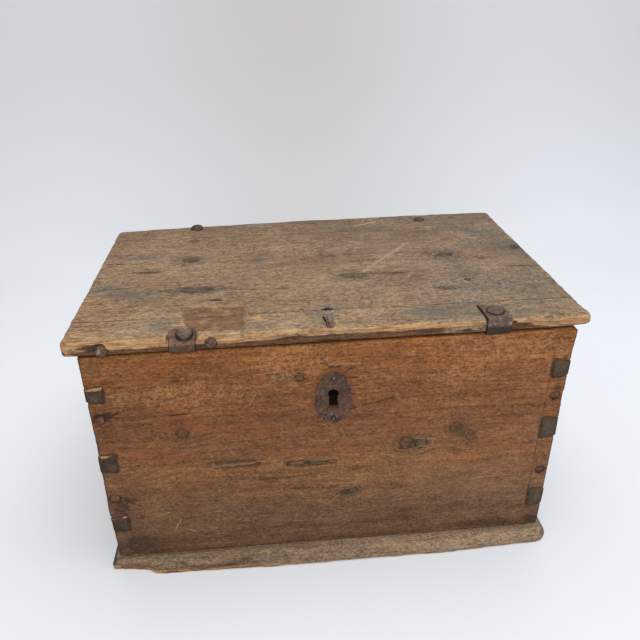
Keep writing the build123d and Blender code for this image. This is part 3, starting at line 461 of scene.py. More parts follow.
# places on the front (x, z) and on the lid (x, y), in mm: knots are (x, z, half width, half height)
FRONT_KNOTS = [
    (-130.8, 153, 5, 5.5), (110, 140.6, 5.5, 6), (66, 127, 7, 6.5), (79, 125, 6, 5.5), (124, 129.5, 4, 6),
    (-80, 115.6, 11, 2.8), (-98, 117.4, 8, 3.4), (-14, 111, 9, 2.4), (-32, 111.8, 8, 2.6),
    (10, 73, 4.5, 4), (17, 74.4, 5, 3.4), (-28.9, 203.2, 3.2, 3.8),
]
FRONT_LINES = [
    ((-188, 175), (-180.5, 179.8), 0.9, 0.95, DIRT),
    ((-188, 175), (-178, 173.4), 0.8, 0.8, DIRT),
    ((-139.5, 173.4), (-124.4, 174.2), 0.7, 0.9, DIRT),
    ((-149.7, 160.5), (-141, 149), 0.5, 0.6, DIRT),
    ((-68.4, 96), (-24, 96.4), 0.8, 0.7, DIRT),
    ((-112, 119.6), (-60, 118.4), 0.6, 0.6, DIRT),
    ((-108, 112.2), (-66, 112), 0.6, 0.5, DIRT),
    ((-44, 114.2), (6, 113), 0.6, 0.6, DIRT),
    ((-36, 108), (2, 108.4), 0.5, 0.5, DIRT),
    ((-150, 197), (-120, 198), 0.6, 0.35, DIRT),
    ((84, 131), (88, 121), 0.6, 0.6, DIRT),
    ((90, 130), (94, 121), 0.6, 0.5, DIRT),
    ((-186, 80), (-176, 74.4), 0.8, 0.7, DIRT),
    ((114.7, 177), (125.5, 183), 0.5, 0.7, DIRT),
    ((15, 168.6), (52, 177.6), 0.6, 1, DIRT),
    ((15, 171), (28, 173.6), 0.8, 0.8, DIRT),
    ((30, 168.4), (44, 172), 0.5, 0.6, DIRT),
    ((-4, 212.6), (5, 212.2), 0.9, 0.95, DIRT),
    ((7.6, 200.8), (19.2, 200.2), 0.9, 0.95, DIRT),
    ((8, 204.8), (16.6, 211.6), 0.8, 0.9, DIRT),
    ((-4, 215.2), (22.5, 213.6), 0.5, 0.6, OLD),
    ((-199, 76), (-188, 64), 7, 0.65, lin(88, 56, 50)),
    # a pink painted highlight just above the lower left peg
    ((-198, 91), (-191, 91.4), 1.2, 0.6, lin(146, 86, 74)),
    ((-150, 162), (-50, 150), 4.5, 0.3, lin(150, 78, 46)),
    ((-60, 128), (24, 124), 4, 0.35, lin(148, 78, 48)),
    ((136, 118), (178, 112), 8, 0.3, lin(146, 78, 50)),
    ((146, 92), (186, 88), 5, 0.35, lin(140, 72, 50)),
    ((84, 102), (130, 106), 4, 0.3, lin(150, 86, 54)),
    ((-176, 134), (-120, 126), 5, 0.3, lin(140, 74, 48)),
    ((90, 80), (160, 72), 18, 0.16, lin(166, 124, 88)),
    ((-149, 43), (-143, 53.5), 0.5, 0.8, OLD),
    ((-137, 41), (-128, 37), 0.5, 0.8, OLD),
    ((-164, 60), (-152, 64), 0.5, 0.6, OLD),
    ((-108, 114.4), (-62, 116.4), 0.6, 0.5, OLD),
    ((74, 131), (92, 128.6), 0.5, 0.5, OLD),
    ((76, 121), (90, 123), 0.5, 0.5, OLD),
    ((-40, 112.8), (4, 114.8), 0.5, 0.4, OLD),
    ((44.6, 128.1), (50.6, 108), 0.5, 0.6, DIRT),
    ((50.6, 108), (54, 93), 0.45, 0.6, DIRT),
    ((110, 176.5), (168, 181.5), 0.6, 0.45, DIRT),
    ((-80, 182), (-76, 192), 0.4, 0.6, OLD),
    ((-72, 178), (-66, 190), 0.4, 0.6, OLD),
    ((-189, 232), (-189.4, 30), 0.4, 0.45, DIRT),
    ((189.2, 216), (188.8, 60), 0.5, 0.75, DIRT),
]
LID_KNOTS = [
    (-126, 28.5, 9, 6), (-116.2, -42, 15, 5), (127.3, 13, 9, 4.5), (29, -26.5, 12, 7),
    (110.3, -64, 7, 3.2), (-127.2, 83.4, 4, 3.5),
]
LID_LINES = [
    ((-215, 27.5), (-167, 26.6), 0.9, 0.85, DIRT),
    ((-211.3, -33.3), (-143.9, -27.2), 0.8, 0.75, DIRT),
    ((-178.9, 3.5), (-152, 2.4), 0.9, 0.4, DIRT),
    ((-68.8, 46), (-34.2, 57.4), 0.8, 0.7, OLD),
    ((50, 109.7), (85.8, 126.1), 0.9, 0.7, lin(206, 176, 124)),
    ((40.7, -17.4), (96.7, 49.2), 1.9, 0.42, lin(190, 176, 144)),
    ((-150, -62), (-96, -57), 2, 0.3, lin(150, 96, 62)),
    ((-70, 30), (-20, 36), 3, 0.25, lin(146, 106, 76)),
    ((20, 84), (64, 96), 3, 0.3, lin(164, 118, 76)),
    ((90, -48), (150, -40), 4, 0.22, lin(150, 110, 90)),
    ((150, 20), (206, 12), 4, 0.22, lin(154, 112, 82)),
    ((48.5, -23.1), (81.6, -26), 1.4, 0.32, DIRT),
    ((181.5, -21.8), (211.1, -25.2), 1.6, 0.32, DIRT),
    # an orange painted highlight along the back edge of the worn hollow
    ((-111, -76.4), (-78, -73.8), 0.8, 0.9, lin(176, 118, 76)),
    ((-103, -63.5), (-92, -66), 1, 0.95, DIRT),
    ((-118, -88.5), (-107, -83), 0.8, 0.8, DIRT),
    ((100, -76.2), (125, -78.5), 0.9, 0.5, lin(150, 96, 84)),
    ((126.4, -101.5), (133, -106), 0.7, 0.9, DIRT),
]
PINE = [(0.0, lin(54, 33, 21)), (0.28, lin(98, 63, 39)), (0.5, lin(129, 86, 55)), (0.74, lin(154, 108, 72)),
        (1.0, lin(190, 148, 106))]
LID_PINE = [(0.0, lin(52, 39, 31)), (0.28, lin(98, 77, 60)), (0.5, lin(135, 111, 87)),
            (0.74, lin(162, 136, 108)), (1.0, lin(194, 168, 136))]
BASE_PINE = [(0.0, lin(60, 48, 38)), (0.28, lin(104, 87, 69)), (0.5, lin(138, 117, 94)),
             (0.74, lin(164, 141, 113)), (1.0, lin(200, 176, 142))]
# colour multipliers along the boards: the front is bluer and darker at its foot, darker in a band higher
# up, warmer at its top, and lighter and bluer towards the right; the lid is warmer at the left, cooler at
# the right, lighter at its front edge and darker at the back; the base is darker at the left and lighter at
# the right
FRONT_TINTS = [("z", 12.0, 235.0, [(0.0, (0.68, 0.81, 1.0, 1)), (0.2, (0.72, 0.87, 1.06, 1)),
                                 (0.42, (1.05, 1.11, 1.08, 1)), (0.65, (0.85, 0.80, 0.77, 1)),
                                 (0.85, (1.07, 0.96, 0.75, 1)), (1.0, (1.16, 1.02, 0.74, 1))]),
             ("x", -205.0, 205.0, [(0.0, (0.91, 0.90, 0.87, 1)), (1.0, (1.12, 1.13, 1.17, 1))])]
LID_TINTS = [("x", -LID_HALF, LID_HALF, [(0.0, (1.10, 1.04, 0.96, 1)), (0.25, (1.05, 1.02, 0.97, 1)),
                                 (0.55, (0.98, 0.98, 0.96, 1)), (1.0, (0.95, 1.0, 1.07, 1))]),
           ("y", -130.0, 140.0, [(0.0, (1.22, 1.2, 1.14, 1)), (0.14, (1.14, 1.12, 1.08, 1)),
                                 (0.3, (1.0, 1.0, 1.0, 1)), (0.85, (0.96, 0.96, 0.98, 1)),
                                 (0.95, (0.84, 0.88, 0.94, 1))])]
BASE_TINTS = [("x", -LID_HALF, LID_HALF, [(0.0, (0.88, 0.86, 0.84, 1)), (0.4, (0.98, 0.95, 0.92, 1)),
                                  (0.8, (1.2, 1.14, 1.12, 1))])]
SEAMS = (-94.5, 93.5)
front_wood = wood("pine.front", "xzy", PINE, 4.2, (60.0, 40.0), FRONT_KNOTS, FRONT_LINES, tints=FRONT_TINTS,
                  scuffs=0.6, scuff_tone=lin(178, 130, 84), hue=lin(88, 74, 54), crisp=1.1, drawn=2.8)
side_wood = wood("pine.side", "yzx", PINE, 4.0, (90.0, 0.0))
lid_wood = wood("pine.lid", "xyz", LID_PINE, 4.6, (-20.0, 130.0), LID_KNOTS, LID_LINES, SEAMS,
                tints=LID_TINTS, calm=0.75, grain=0.75, scuffs=0.4, scuff_tone=lin(190, 164, 130),
                hue=lin(92, 90, 82), crisp=1.05, drawn=3.4)
base_wood = wood("pine.base", "xyz", BASE_PINE, 3.8, (0.0, -120.0), tints=BASE_TINTS, grain=0.5, scuffs=0.5,
                 hue=lin(116, 106, 88), crisp=1.2, drawn=3.0)


def begin(node, voxel, stretch=(1, 1, 1)):
    shape = Shape(node, voxel, stretch)
    shape.start_normals = shape.normals()
    return shape


def spots(a, b, table):
    """The sum of soft spots, each (a, b, radius, radius, strength)."""
    total = 0.0
    for ca, cb, ra, rb, k in table:
        total = total + k * spot(a, b, ca, cb, ra, rb)
    return total


LID_GREY = [
    (-175, -46, 16, 7, 0.7), (-199, -30, 14, 6, 0.8), (-176, 44, 30, 12, 0.6), (-60, 22, 5, 12, 0.8),
    (-137, -107, 12, 9, 0.8), (-60, -116, 13, 7, 0.8), (-5, -106, 16, 14, 0.7), (80, -108, 26, 11, 0.6),
    (135, -20, 16, 36, 0.5), (206, 28, 14, 14, 0.7), (180, 74, 24, 14, 0.5), (150, -60, 60, 18, 0.3),
    (128, -106, 12, 12, 0.7), (-126, 27, 18, 8, 0.5), (-116, -42, 26, 8, 0.5), (60, 100, 60, 14, 0.3),
]
LID_DARK = [
    (-125, 26, 12, 6, 0.5), (-110, -42, 12, 6, 0.5), (-132, -40, 9, 3, 0.4), (-99, -64, 8, 3, 0.8),
    (-165, 2, 18, 4, 0.6), (29, -26, 14, 8, 0.45), (66, -25, 20, 4, 0.5), (127, 13, 9, 5, 0.55),
    (196, -23, 20, 4, 0.5), (208, 26, 12, 8, 0.5), (178, 76, 22, 9, 0.45), (110, -64, 8, 3, 0.6),
    (-176, 42, 26, 6, 0.35), (133, -40, 6, 2.5, 0.6), (-197, -28, 5, 4, 0.5),
]
LID_PALE = [
    (-125, -107, 5.5, 3.5, 1.0), (-61, -103, 5, 6, 0.9), (-206, -117, 12, 12, 0.45),
    (46, 55, 12, 5, 0.45), (-200, 20, 12, 3, 0.5), (-206, -54, 10, 6, 0.4), (131.3, -51.2, 2.2, 2.0, 0.8),
    (105, -10, 8, 6, 0.35), (-208, -80, 6, 20, 0.3), (176, -24, 20, 4, 0.35), (-186, -78, 22, 3, 0.4),
    (60, 62, 14, 2, 0.4), (20, 90, 10, 3, 0.3), (-150, -60, 22, 3, 0.3), (196, 0, 10, 12, 0.3),
]
EDGE_LEFT_Y = -131.5  # the lid's front edge at its left end
EDGE_SKEW = 5.5  # and how far its right end lies back
REAR_CORNER_CUT = 2.6  # its back corners are worn round
PATCH = (-97.0, -99.0, 26.0, 22.5)  # worn hollow where something was fixed
REAR_SLOT = (-1.6, -91.9, 4.9, 3.6)  # holes that the staple's legs come out of
FRONT_SLOT = ((-5.6, -105.4), (-1.9, -119.5))


def front_edge_y(x):
    """The lid's front edge runs a little askew."""
    return EDGE_LEFT_Y + (x + LID_HALF) / (2 * LID_HALF) * EDGE_SKEW


def inside_box(a, b, box, soft):
    """1 inside a slightly ragged rectangle, with a soft border."""
    ca, cb, ra, rb = box
    return step(np.minimum(ra - np.abs(a - ca), rb - np.abs(b - cb)), -soft, soft)


def lid_board(node, voxel, stretch):
    s = begin(node, voxel, stretch)
    x, y, z = s.x.copy(), s.y.copy(), s.z.copy()
    n = s.start_normals
    top = step(n[:, 2], 0.3, 0.8)
    depth = y - front_edge_y(x)                                # from the front edge
    front_zone = step(-depth, -15.0, -4.0)
    left_end = step(-x, 150, 212)
    wear = 0.25 + 0.5 * front_zone * (0.5 + 0.5 * left_end) + 0.2 * s.noise((26, 18, 18), 3, 2)
    wear *= ((0.12 + 0.88 * step(z, 240.5, 244.0))
             * (1 - 0.75 * step(np.abs(x), 200, 210) * (1 - left_end * 0.5)))
    s.smooth(np.clip(wear, 0.04, 0.9)[:, None], 5)
    # relief: raised grain, shallow wear hollows, dents
    relief = 0.2 * s.noise((60, 3.4, 60), 11, 2) + 0.18 * s.noise((22, 7, 22), 12, 2)
    relief += 0.32 * s.noise((60, 34, 60), 13, 2) + 0.14 * s.noise((5, 3.5, 5), 16, 2)
    ragged = 2.6 * s.noise((9, 9, 40), 14, 3)
    hollow = inside_box(x + ragged, y + ragged, PATCH, 1.0)
    relief -= hollow * (1.2 + 0.2 * s.noise((14, 6, 9), 15))
    relief -= 1.2 * spot(x, y, -59, -104, 4.0, 5.0) + 0.9 * spot(x, y, -125, -106, 4.5, 3.0)
    relief -= 0.35 * along(x, y, (40, -16), (96, 49), 2.0)
    relief -= (0.8 * along(x, y, (-215, 27.5), (-167, 26.5), 0.9)
               + 0.6 * along(x, y, (-211, -33), (-144, -27), 0.9))
    rear_hole = step(spot(x, y, *REAR_SLOT) - 0.7 * spot(x, y, -1.6, -87.4, 4.2, 2.4), 0.2, 0.4) * top
    slit = np.maximum(along(x, y, *FRONT_SLOT, 1.9), along(x, y, (-3.8, -115.0), (-3.4, -124.0), 1.1)) * top
    bowl = along(x, y, (-3.0, -110), (-2.0, -120), 6.4) * top
    bowl_rim = np.exp(-(((bowl - 0.42) / 0.16) ** 2)) * top * step(-y, 100, 106)
    relief -= 2.4 * rear_hole + 1.7 * slit + 0.8 * step(bowl, 0.3, 0.6)
    # the front edge: shallow splits along the grain, a few chips beside the right strap
    edge = step(-depth, -3.2, -0.2)
    streak = s.noise((34, 8, 1.5), 25, 3)
    split = edge * spots(x, z, [
        (157, 241.0, 11, 2.4, 1.0), (150, 244.5, 3, 1.6, 0.9), (112, 240.0, 13, 1.2, 0.7),
        (-185, 246.4, 7, 1.3, 1.1), (-198, 243.6, 8, 1.2, 0.9), (28, 240.0, 9, 0.9, 0.6),
        (-60, 239.4, 14, 0.9, 0.6), (-22, 240.0, 9, 0.9, 0.6), (64, 241.4, 4, 0.9, 0.7)])
    split = step(split + 0.3 * s.noise((5, 5, 2), 24, 3), 0.4, 0.75)
    relief -= 0.9 * split + edge * step(z, 238.6, 240.0) * (0.3 * np.clip(streak, 0, 1) + 0.2)
    relief -= edge * step(z, 243.0, 246.0) * 0.35 * (1 + s.noise((16, 6, 6), 22, 2))
    s.push(relief * np.clip(top + edge + 0.3, 0, 1), n)
    for side, back in ((-1, 126.0), (1, 143.0)):
        rear = REAR_CORNER_CUT * spot(x, y, side * LID_HALF, back, 5.5, 5.5)
        s.co[:, 0] -= side * rear
        s.co[:, 1] -= rear
    tip = spot(x, y, LID_HALF, -126, 12, 10)
    s.co[:, 0] += tip * (2.0 - 3.2 * step(-z, -241.5, -237.5))
    s.co[:, 1] -= tip * (1.8 - 3.4 * step(-z, -241.5, -237.5))
    # masks
    s.mask("face", top)
    s.mask("end", step(np.abs(n[:, 0]), 0.55, 0.85) * 0.6)
    wave = 0.8 * s.noise((18, 10, 10), 30, 2)
    # the pale band on the arris is bare wood and painted highlight, and its lower border wanders
    low = 241.6 + 2.4 * step(x, -55, -35) - 1.6 * spot(x, 0, 54, 0, 14, 1) - 5.8 * step(x, 150, 190)
    band = edge * step(z + wave, low - 0.7, low + 0.7) * (1 - 0.5 * step(z, 246.0, 247.5) * step(x, 60, 90))
    band = band * (1 - 0.9 * spot(x, z, -190, 244.5, 11, 5.0))
    patchy = 0.85 + 0.75 * s.noise((20, 12, 1.8), 31, 3)
    over = step(-depth, -4.5, -1.5) * top * (0.35 + 0.5 * left_end) * (1 - 0.7 * step(x, 60, 90))
    corner = 0.5 * edge * step(-x, 198, 208) * step(-z, -243.0, -240.5)
    pale = (band + 0.6 * over) * patchy * (1 - split) + corner + spots(x, y, LID_PALE) * top
    ends = step(np.abs(x), 204, 212) * top
    pale += 0.4 * ends * (0.5 + s.noise((12, 22, 12), 36, 2))
    pale += bowl_rim * (0.8 + 0.6 * s.noise((4, 4, 4), 50, 2)) * step(-y, 108, 114)
    s.mask("pale", pale * (1 - rear_hole) * (1 - slit))
    grey = (0.7 * step(bowl, 0.45, 0.6) + 0.26 + 0.34 * s.noise((50, 30, 50), 33, 3)
            + 0.16 * step(x, -60, 200) + spots(x, y, LID_GREY))
    s.mask("grey", grey * top * (1 - 0.85 * hollow))
    dark = 0.06 + 0.16 * s.noise((34, 14, 34), 34, 3) + spots(x, y, LID_DARK) * top
    gouge = spot(x, z, -190, 244.5, 9, 3.6)
    knob = spot(x, z, -104.5, 242.4, 3.6, 3.6)
    # the lower part of the front edge, under the pale band, is brown old edge with painted shade
    lower = edge * step(-z - wave, -low - 0.4, -low + 0.6)
    broken = edge * spot(x, z, 160, 241.0, 16, 4.5)
    s.mask("brown", 1.1 * lower * (1 - 0.65 * step(x, 60, 100)) + edge * (gouge + knob)
           + 0.9 * broken + 0.5 * split)
    s.mask("moss", 1.2 * edge * spot(x, z, -105.5, 242.4, 3.0, 3.0))
    # painted shade on the lower part of the front edge and along its foot
    dark += lower * (0.1 + 0.9 * streak) + 0.3 * edge * step(-z, -239.6, -238.2)
    dark += 0.6 * edge * (gouge + knob)
    s.mask("dark", dark)
    s.mask("rust", (0.85 + 0.5 * s.noise((9, 4, 9), 39, 2)) * hollow
           + 0.5 * spot(x, y, -120, -122, 18, 10)
           + 0.4 * spot(x, y, 105, -76, 16, 6) + 0.45 * spot(x, y, -30, 78, 4, 3))
    # painted shade in the staple's holes and on the underside behind the front edge; darker splits and a
    # dark gouge by the left nail
    s.mask("soot", rear_hole * 1.1 + slit * 1.1 + 0.5 * split + 0.3 * edge * spot(x, z, -185, 246.6, 7, 1.2)
           + 0.55 * step(-n[:, 2], 0.5, 0.9) * step(-depth, -16, -8))
    s.mask("scuff", (1 - hollow) * (0.35 + 0.25 * s.noise((60, 40, 60), 40, 2)
           + 0.25 * spot(x, y, 60, -50, 80, 60) + 0.2 * spot(x, y, -150, -70, 60, 40)))
    return s.finish("lid", "lid_pine", lid_wood)


FRONT_GREY = [
    (-129, 150, 9, 8, 0.6), (72, 126, 13, 7.5, 0.9), (118, 134, 11, 8, 0.9), (-86, 116, 20, 4, 0.5),
    (-196, 222, 12, 14, 0.5), (-45, 205, 14, 8, 0.7), (-50, 170, 34, 14, 0.4), (60, 60, 80, 20, 0.25),
    (194, 40, 12, 26, 0.6), (-19, 111, 14, 3.5, 0.45), (12, 74, 10, 4, 0.4), (-178, 196, 9, 12, 0.5),
    (-178, 150, 8, 10, 0.5), (100, 84, 60, 12, 0.3),
]
FRONT_DARK = [
    (-194, 176, 9, 4, 0.9), (-184, 82, 9, 3, 0.5), (197, 178, 6, 9, 0.6), (194, 88, 7, 8, 0.4),
    (-150, 26, 50, 14, 0.3), (-84, 115, 18, 3.5, 0.4), (-20, 110, 18, 4, 0.45), (12, 73, 9, 4.0, 0.7),
    (-44, 167, 14, 6, 0.3), (69, 126, 9, 5, 0.5), (112, 140, 7, 5, 0.5), (-130, 152, 6, 5, 0.4),
    (-60, 54, 12, 7, 0.5), (70, 42, 14, 12, 0.4), (-180, 50, 12, 40, 0.35), (44, 40, 30, 14, 0.3),
    (-105, 70, 18, 8, 0.3), (118, 46, 14, 8, 0.5), (-26, 196, 7, 12, 0.3), (0, 218, 14, 5, 0.3),
    (150, 20, 70, 6, 0.25), (-197, 72, 8, 9, 0.3),
]
FRONT_PALE = [
    (-131, 154, 6, 3, 0.3), (80, 122, 9, 2.5, 0.35), (-92, 180, 26, 14, 0.18), (-60, 26, 60, 3, 0.3),
    (36, 24, 40, 3, 0.3), (165, 26, 12, 4, 0.35),
]


def spread(s):
    """The case's front corners run a little out of line."""
    out = step(np.abs(s.x), 150, 204) * step(-s.y, 96, 124)
    right = 0.8 + 0.8 * step(s.z, 165, 195) + 1.2 * step(s.z, 210, 230)
    left = 0.2 + 1.2 * step(-s.z, -150, -115) + 0.9 * spot(s.z, 0, 72, 0, 14, 1)
    s.co[:, 0] += out * np.where(s.x > 0, right, -left)


def front_board():
    s = begin("front_board", 1.05, (0.6, 1, 1))
    x, y, z = s.x.copy(), s.y.copy(), s.z.copy()
    spread(s)
    n = s.start_normals
    face = step(-n[:, 1], 0.3, 0.8)
    joint = step(np.abs(x), 184.0, 187.0)
    ends = step(np.abs(x), 200.0, 203.5)
    outline = s.rim(face) * joint
    s.smooth(np.clip(0.2 + 0.2 * ends + 0.25 * s.noise((20, 20, 20), 3, 2), 0.05, 0.9)[:, None], 2)
    relief = 0.16 * s.noise((60, 60, 3.0), 11, 2) + 0.13 * s.noise((20, 20, 6), 12, 2)
    relief += 0.3 * s.noise((60, 40, 44), 13, 2) + 0.12 * s.noise((5, 5, 3), 15, 2)
    relief -= (0.9 * spot(x, z, -194, 176, 8, 3.0) + 0.6 * spot(x, z, -188, 178, 7, 2)
               + 0.5 * spot(x, z, -190, 84, 7, 5))
    bites = np.clip(s.noise((6, 6, 7), 14, 3) - 0.05, 0, 1)
    relief -= ends * bites * (0.8 + 1.4 * step(-x, 0, 10) * step(-z, -215, -200))
    s.push(relief * (0.3 + 0.7 * face), n)
    s.mask("face", face)
    s.mask("outline", outline * (0.75 + 0.35 * s.noise((7, 7, 7), 38, 2)))
    s.mask("end", step(np.abs(n[:, 0]), 0.55, 0.85) * (1 - face))
    low = step(-z, -64, -16)
    foot = step(-z, -18.5, -12.5)
    pale = (0.35 * ends * (0.5 + s.noise((4, 4, 5), 31, 2))
            + 0.6 * foot * (0.25 + s.noise((12, 6, 4), 32, 3)))
    pale += spots(x, z, FRONT_PALE) * (0.7 + 0.6 * s.noise((5, 5, 3), 37, 2))
    in_hole = step(-np.abs(x + 0.2), -7.5, -5.5) * step(-np.abs(z - 180), -16, -12)
    in_hole = in_hole * step(y, -127.2, -126.0)
    lit_foot = in_hole * step(-z, -177.0, -168.0) * step(-y, 119.0, 125.0)
    s.mask("pale", pale * face * (1 - in_hole))
    tails = joint * (0.2 + 0.3 * s.noise((4, 4, 4), 39, 2)) * step(-x, 0, 10)
    grey = 0.02 + 0.25 * s.noise((60, 60, 34), 33, 3) + 0.26 * low + spots(x, z, FRONT_GREY) + 0.6 * tails
    s.mask("grey", grey * face + 0.9 * lit_foot)
    dark = 0.02 + 0.15 * s.noise((48, 48, 18), 34, 3) + 0.22 * low + spots(x, z, FRONT_DARK) + tails
    dark += 0.3 * step(x, 187, 191) * step(s.noise((16, 16, 16), 35, 2), -0.1, 0.5)
    s.mask("dark", dark * face * (1 - in_hole))
    halo = np.exp(-((np.hypot((x + 0.5) / 18, (z - 181) / 28.5) - 0.96) / 0.16) ** 2)
    s.mask("rust", (0.75 * halo + 0.45 * spot(x, z, -190, 88, 8, 8) + 0.5 * spot(x, z, -182, 238, 8, 9)
                    + 0.4 * spot(x, z, -186, 72, 8, 12) + 0.25 * s.noise((50, 50, 30), 36, 2)) * face)
    inner = step(n[:, 1], 0.5, 0.9)
    # painted shade inside the keyhole, but not on its lit foot, and on the board's top face under the lid
    s.mask("soot", in_hole * (1.2 - 1.2 * lit_foot)
           + 0.5 * step(n[:, 2], 0.5, 0.9) * step(z, 228, 233) * (1 - inner) * step(y, -124.0, -119.0))
    s.mask("scuff", 0.16 + 0.55 * step(z, 165, 222) * (0.6 + 0.4 * step(-x, -60, 120))
           * (0.7 + s.noise((50, 50, 30), 40)))
    return s.finish("case", "case_pine", front_wood)


def plain_board(node, slot, material, voxel, grain, seed, extra=None):
    s = begin(node, voxel)
    n = s.start_normals
    s.smooth(np.clip(0.3 + 0.3 * s.noise((20, 20, 20), seed, 2), 0.05, 0.9)[:, None], 2)
    cell = [44, 44, 44]
    cell[grain] = 70
    s.push(0.25 * s.noise(cell, seed + 1, 2) + 0.1 * s.noise((6, 6, 6), seed + 4, 2), n)
    masks = {
        "face": 0 * s.x,
        "end": step(np.abs(n[:, grain]), 0.55, 0.85),
        "dark": 0.1 + 0.15 * s.noise(cell, seed + 2, 3),
        "grey": 0.15 + 0.2 * s.noise(cell, seed + 3, 3),
        "pale": 0 * s.x,
        "rust": 0 * s.x,
        "soot": 0 * s.x,
    }
    if extra:
        extra(s, masks)
    for name, values in masks.items():
        s.mask(name, values)
    return s.finish("case", slot, material)


def worn_pins(s, masks):
    """Pins show as dark end grain in the front, a little proud; the left ones have a pale upper edge of
    painted highlight and dust.
    """
    spread(s)
    n = s.start_normals
    shown = step(-s.y, 126.5, 127.6) * step(-n[:, 1], 0.5, 0.9)
    rim = s.rim(shown)
    near = np.stack([shown * s.z, shown], 1)
    for _ in range(4):
        near = s.around(near)
    upper = shown * step(s.z - near[:, 0] / np.maximum(near[:, 1], 1e-6), 0.3, 0.7)
    s.co[:, 1] -= 0.45 * step(-s.y, 126.5, 127.6)
    masks["end"] = np.maximum(masks["end"], step(-s.y, 126.5, 127.6))
    masks["dark"] = masks["dark"] + (0.1 + 0.3 * s.noise((6, 6, 6), 46, 2)) * shown
    masks["dark"] += 0.4 * shown * step(-s.x, 0, 10)
    # painted highlight and dust along the upper edge of the left pins
    masks["pale"] = 1.3 * upper * (0.7 + 0.8 * s.noise((5, 5, 5), 48, 2)) * step(-s.x, 0, 10)
    masks["outline"] = rim * (1 - upper) * (0.7 + 0.4 * s.noise((7, 7, 7), 47, 2))


def worn_base(s, masks):
    """The bottom board's front edge is split away at the left and bare along its lower arris."""
    x, y, z = s.x, s.y, s.z
    n = s.start_normals
    front = step(-n[:, 1], 0.3, 0.7) * step(-y, 128.5, 130.5)
    s.co[:, 1] += front * (0.7 * np.clip(s.noise((13, 9, 5), 91, 3), 0, 1)
                           + 0.9 * step(-z, -3.5, -0.5)
                           * np.clip(0.5 + s.noise((24, 9, 30), 92, 3), 0, 1))
    middle = step(x, -85, -60) * step(-x, -110, -80)
    lifted = (step(-z, -4.0, -0.5) * step(-y, 130, 136) * (0.35 + middle)
              * (0.6 + 0.5 * s.noise((18, 9, 30), 94, 3)))
    s.co[:, 2] += np.clip(lifted, 0, 2)
    low = step(-z, -6.5, -3.5) * step(-y, 128, 131)
    left = step(-x, -80, 160)
    masks["pale"] = low * (0.35 + 0.6 * left) * (0.7 + 0.8 * s.noise((16, 16, 3.0), 93, 3))
    masks["pale"] += 0.25 * front * step(x, 60, 190) * (0.5 + s.noise((20, 20, 4), 95, 3))
    masks["rust"] = low * left * 0.35 + front * (0.7 - 0.6 * step(x, -130, -20)) * step(-z, -8.5, -6.5)
    # darker at the left end, and a painted shadow line along the foot of the front board
    masks["dark"] = masks["dark"] + 0.6 * step(-x, 207, 211) + 0.4 * step(-np.abs(y + 129.0), -2.0, -0.4)
    masks["face"] = step(n[:, 2], 0.3, 0.8)
    masks["scuff"] = 0.4 + 0 * x
    ledge = step(n[:, 2], 0.3, 0.7) * step(-y, 127.5, 129.0)
    masks["dark"] += (0.35 * front * step(z, 2.5, 6.0) * (0.5 + s.noise((26, 9, 9), 96, 3))
                      * (0.5 + 0.5 * left))
    outer = ledge * step(-y, 131.0, 134.0)
    s.co[:, 2] -= 1.8 * ledge * step(-y, 131.5, 141.0)
    masks["grey"] = (masks["grey"] + 0.4 * ledge) * (1 - 0.75 * outer) + 0.25 * front * step(x, 0, 150)
    masks["dark"] += outer * (0.1 + 0.3 * s.noise((30, 9, 9), 97, 3)) + 0.12 * outer * left
    masks["rust"] += 0.3 * outer * (0.4 + s.noise((40, 12, 12), 98, 2)) * left
    # a painted highlight on the lower edge at the left tip
    masks["pale"] += 0.8 * low * step(-x, 203, 207)


lid_board("lid_front_board", 0.8, (0.6, 1, 1))
lid_board("lid_middle_board", 1.0, (0.55, 1, 1))
lid_board("lid_back_board", 1.0, (0.55, 1, 1))
front_board()
plain_board("back_board", "case_pine", front_wood, 1.9, 0, 50)
plain_board("left_side_board", "side_pine", side_wood, 1.5, 1, 60, worn_pins)
plain_board("right_side_board", "side_pine", side_wood, 1.5, 1, 70, worn_pins)
plain_board("bottom_board", "base_pine", base_wood, 1.4, 0, 80, worn_base)


# ---------------- iron


def iron(name, dark, mid, light, flake=0.5, metallic=0.15):
    g = Graph(name)
    crust = g.noise(g.stretched((2.6, 2.6, 2.6)), 5, 0.72)
    patch = g.noise(g.stretched((9.0, 9.0, 9.0)), 4, 0.6)
    pits = g.cells(g.stretched((2.3, 2.3, 2.3)))
    tone = 0.5 + (crust - 0.5) * 1.25 + (patch - 0.5) * 0.6
    colour = g.ramp(tone, [(0.2, dark), (0.48, mid), (0.8, light)])
    orange = g.step(g.noise(g.stretched((4.0, 4.0, 4.0)), 4, 0.6), 0.54, 0.68)
    colour = g.mix(orange * flake, colour, lin(120, 74, 48))
    soot = g.step(g.noise(g.stretched((5.0, 5.0, 5.0)), 3, 0.6, 0.4), 0.46, 0.32)
    colour = g.mix(soot * 0.45, colour, lin(40, 33, 31))
    colour = g.mix(g.step(pits, 0.26, 0.08) * 0.6, colour, lin(24, 17, 14))
    shiny = g.step(crust, 0.63, 0.71)
    colour = g.mix(shiny * 0.5, colour, lin(168, 146, 126))
    # the pieces' masks: painted shade with a few dark blotches, painted highlights with a few pale specks,
    # then dust
    colour = g.mix(g.step(g.mask("shade"), 0.1, 0.9) * 0.9, colour, lin(22, 15, 13))
    colour = g.mix(g.step(g.mask("bright"), 0.1, 1.2) * 0.95, colour, lin(182, 164, 146))
    colour = g.mix(g.mask("dust"), colour, lin(128, 112, 92))
    height = crust * 0.5 + g.step(pits, 0.0, 0.4) * 0.3
    return g.finish(colour, g.step(crust, 0.3, 0.7, (0.5, 0.8)), height, metallic=metallic, specular=0.32)


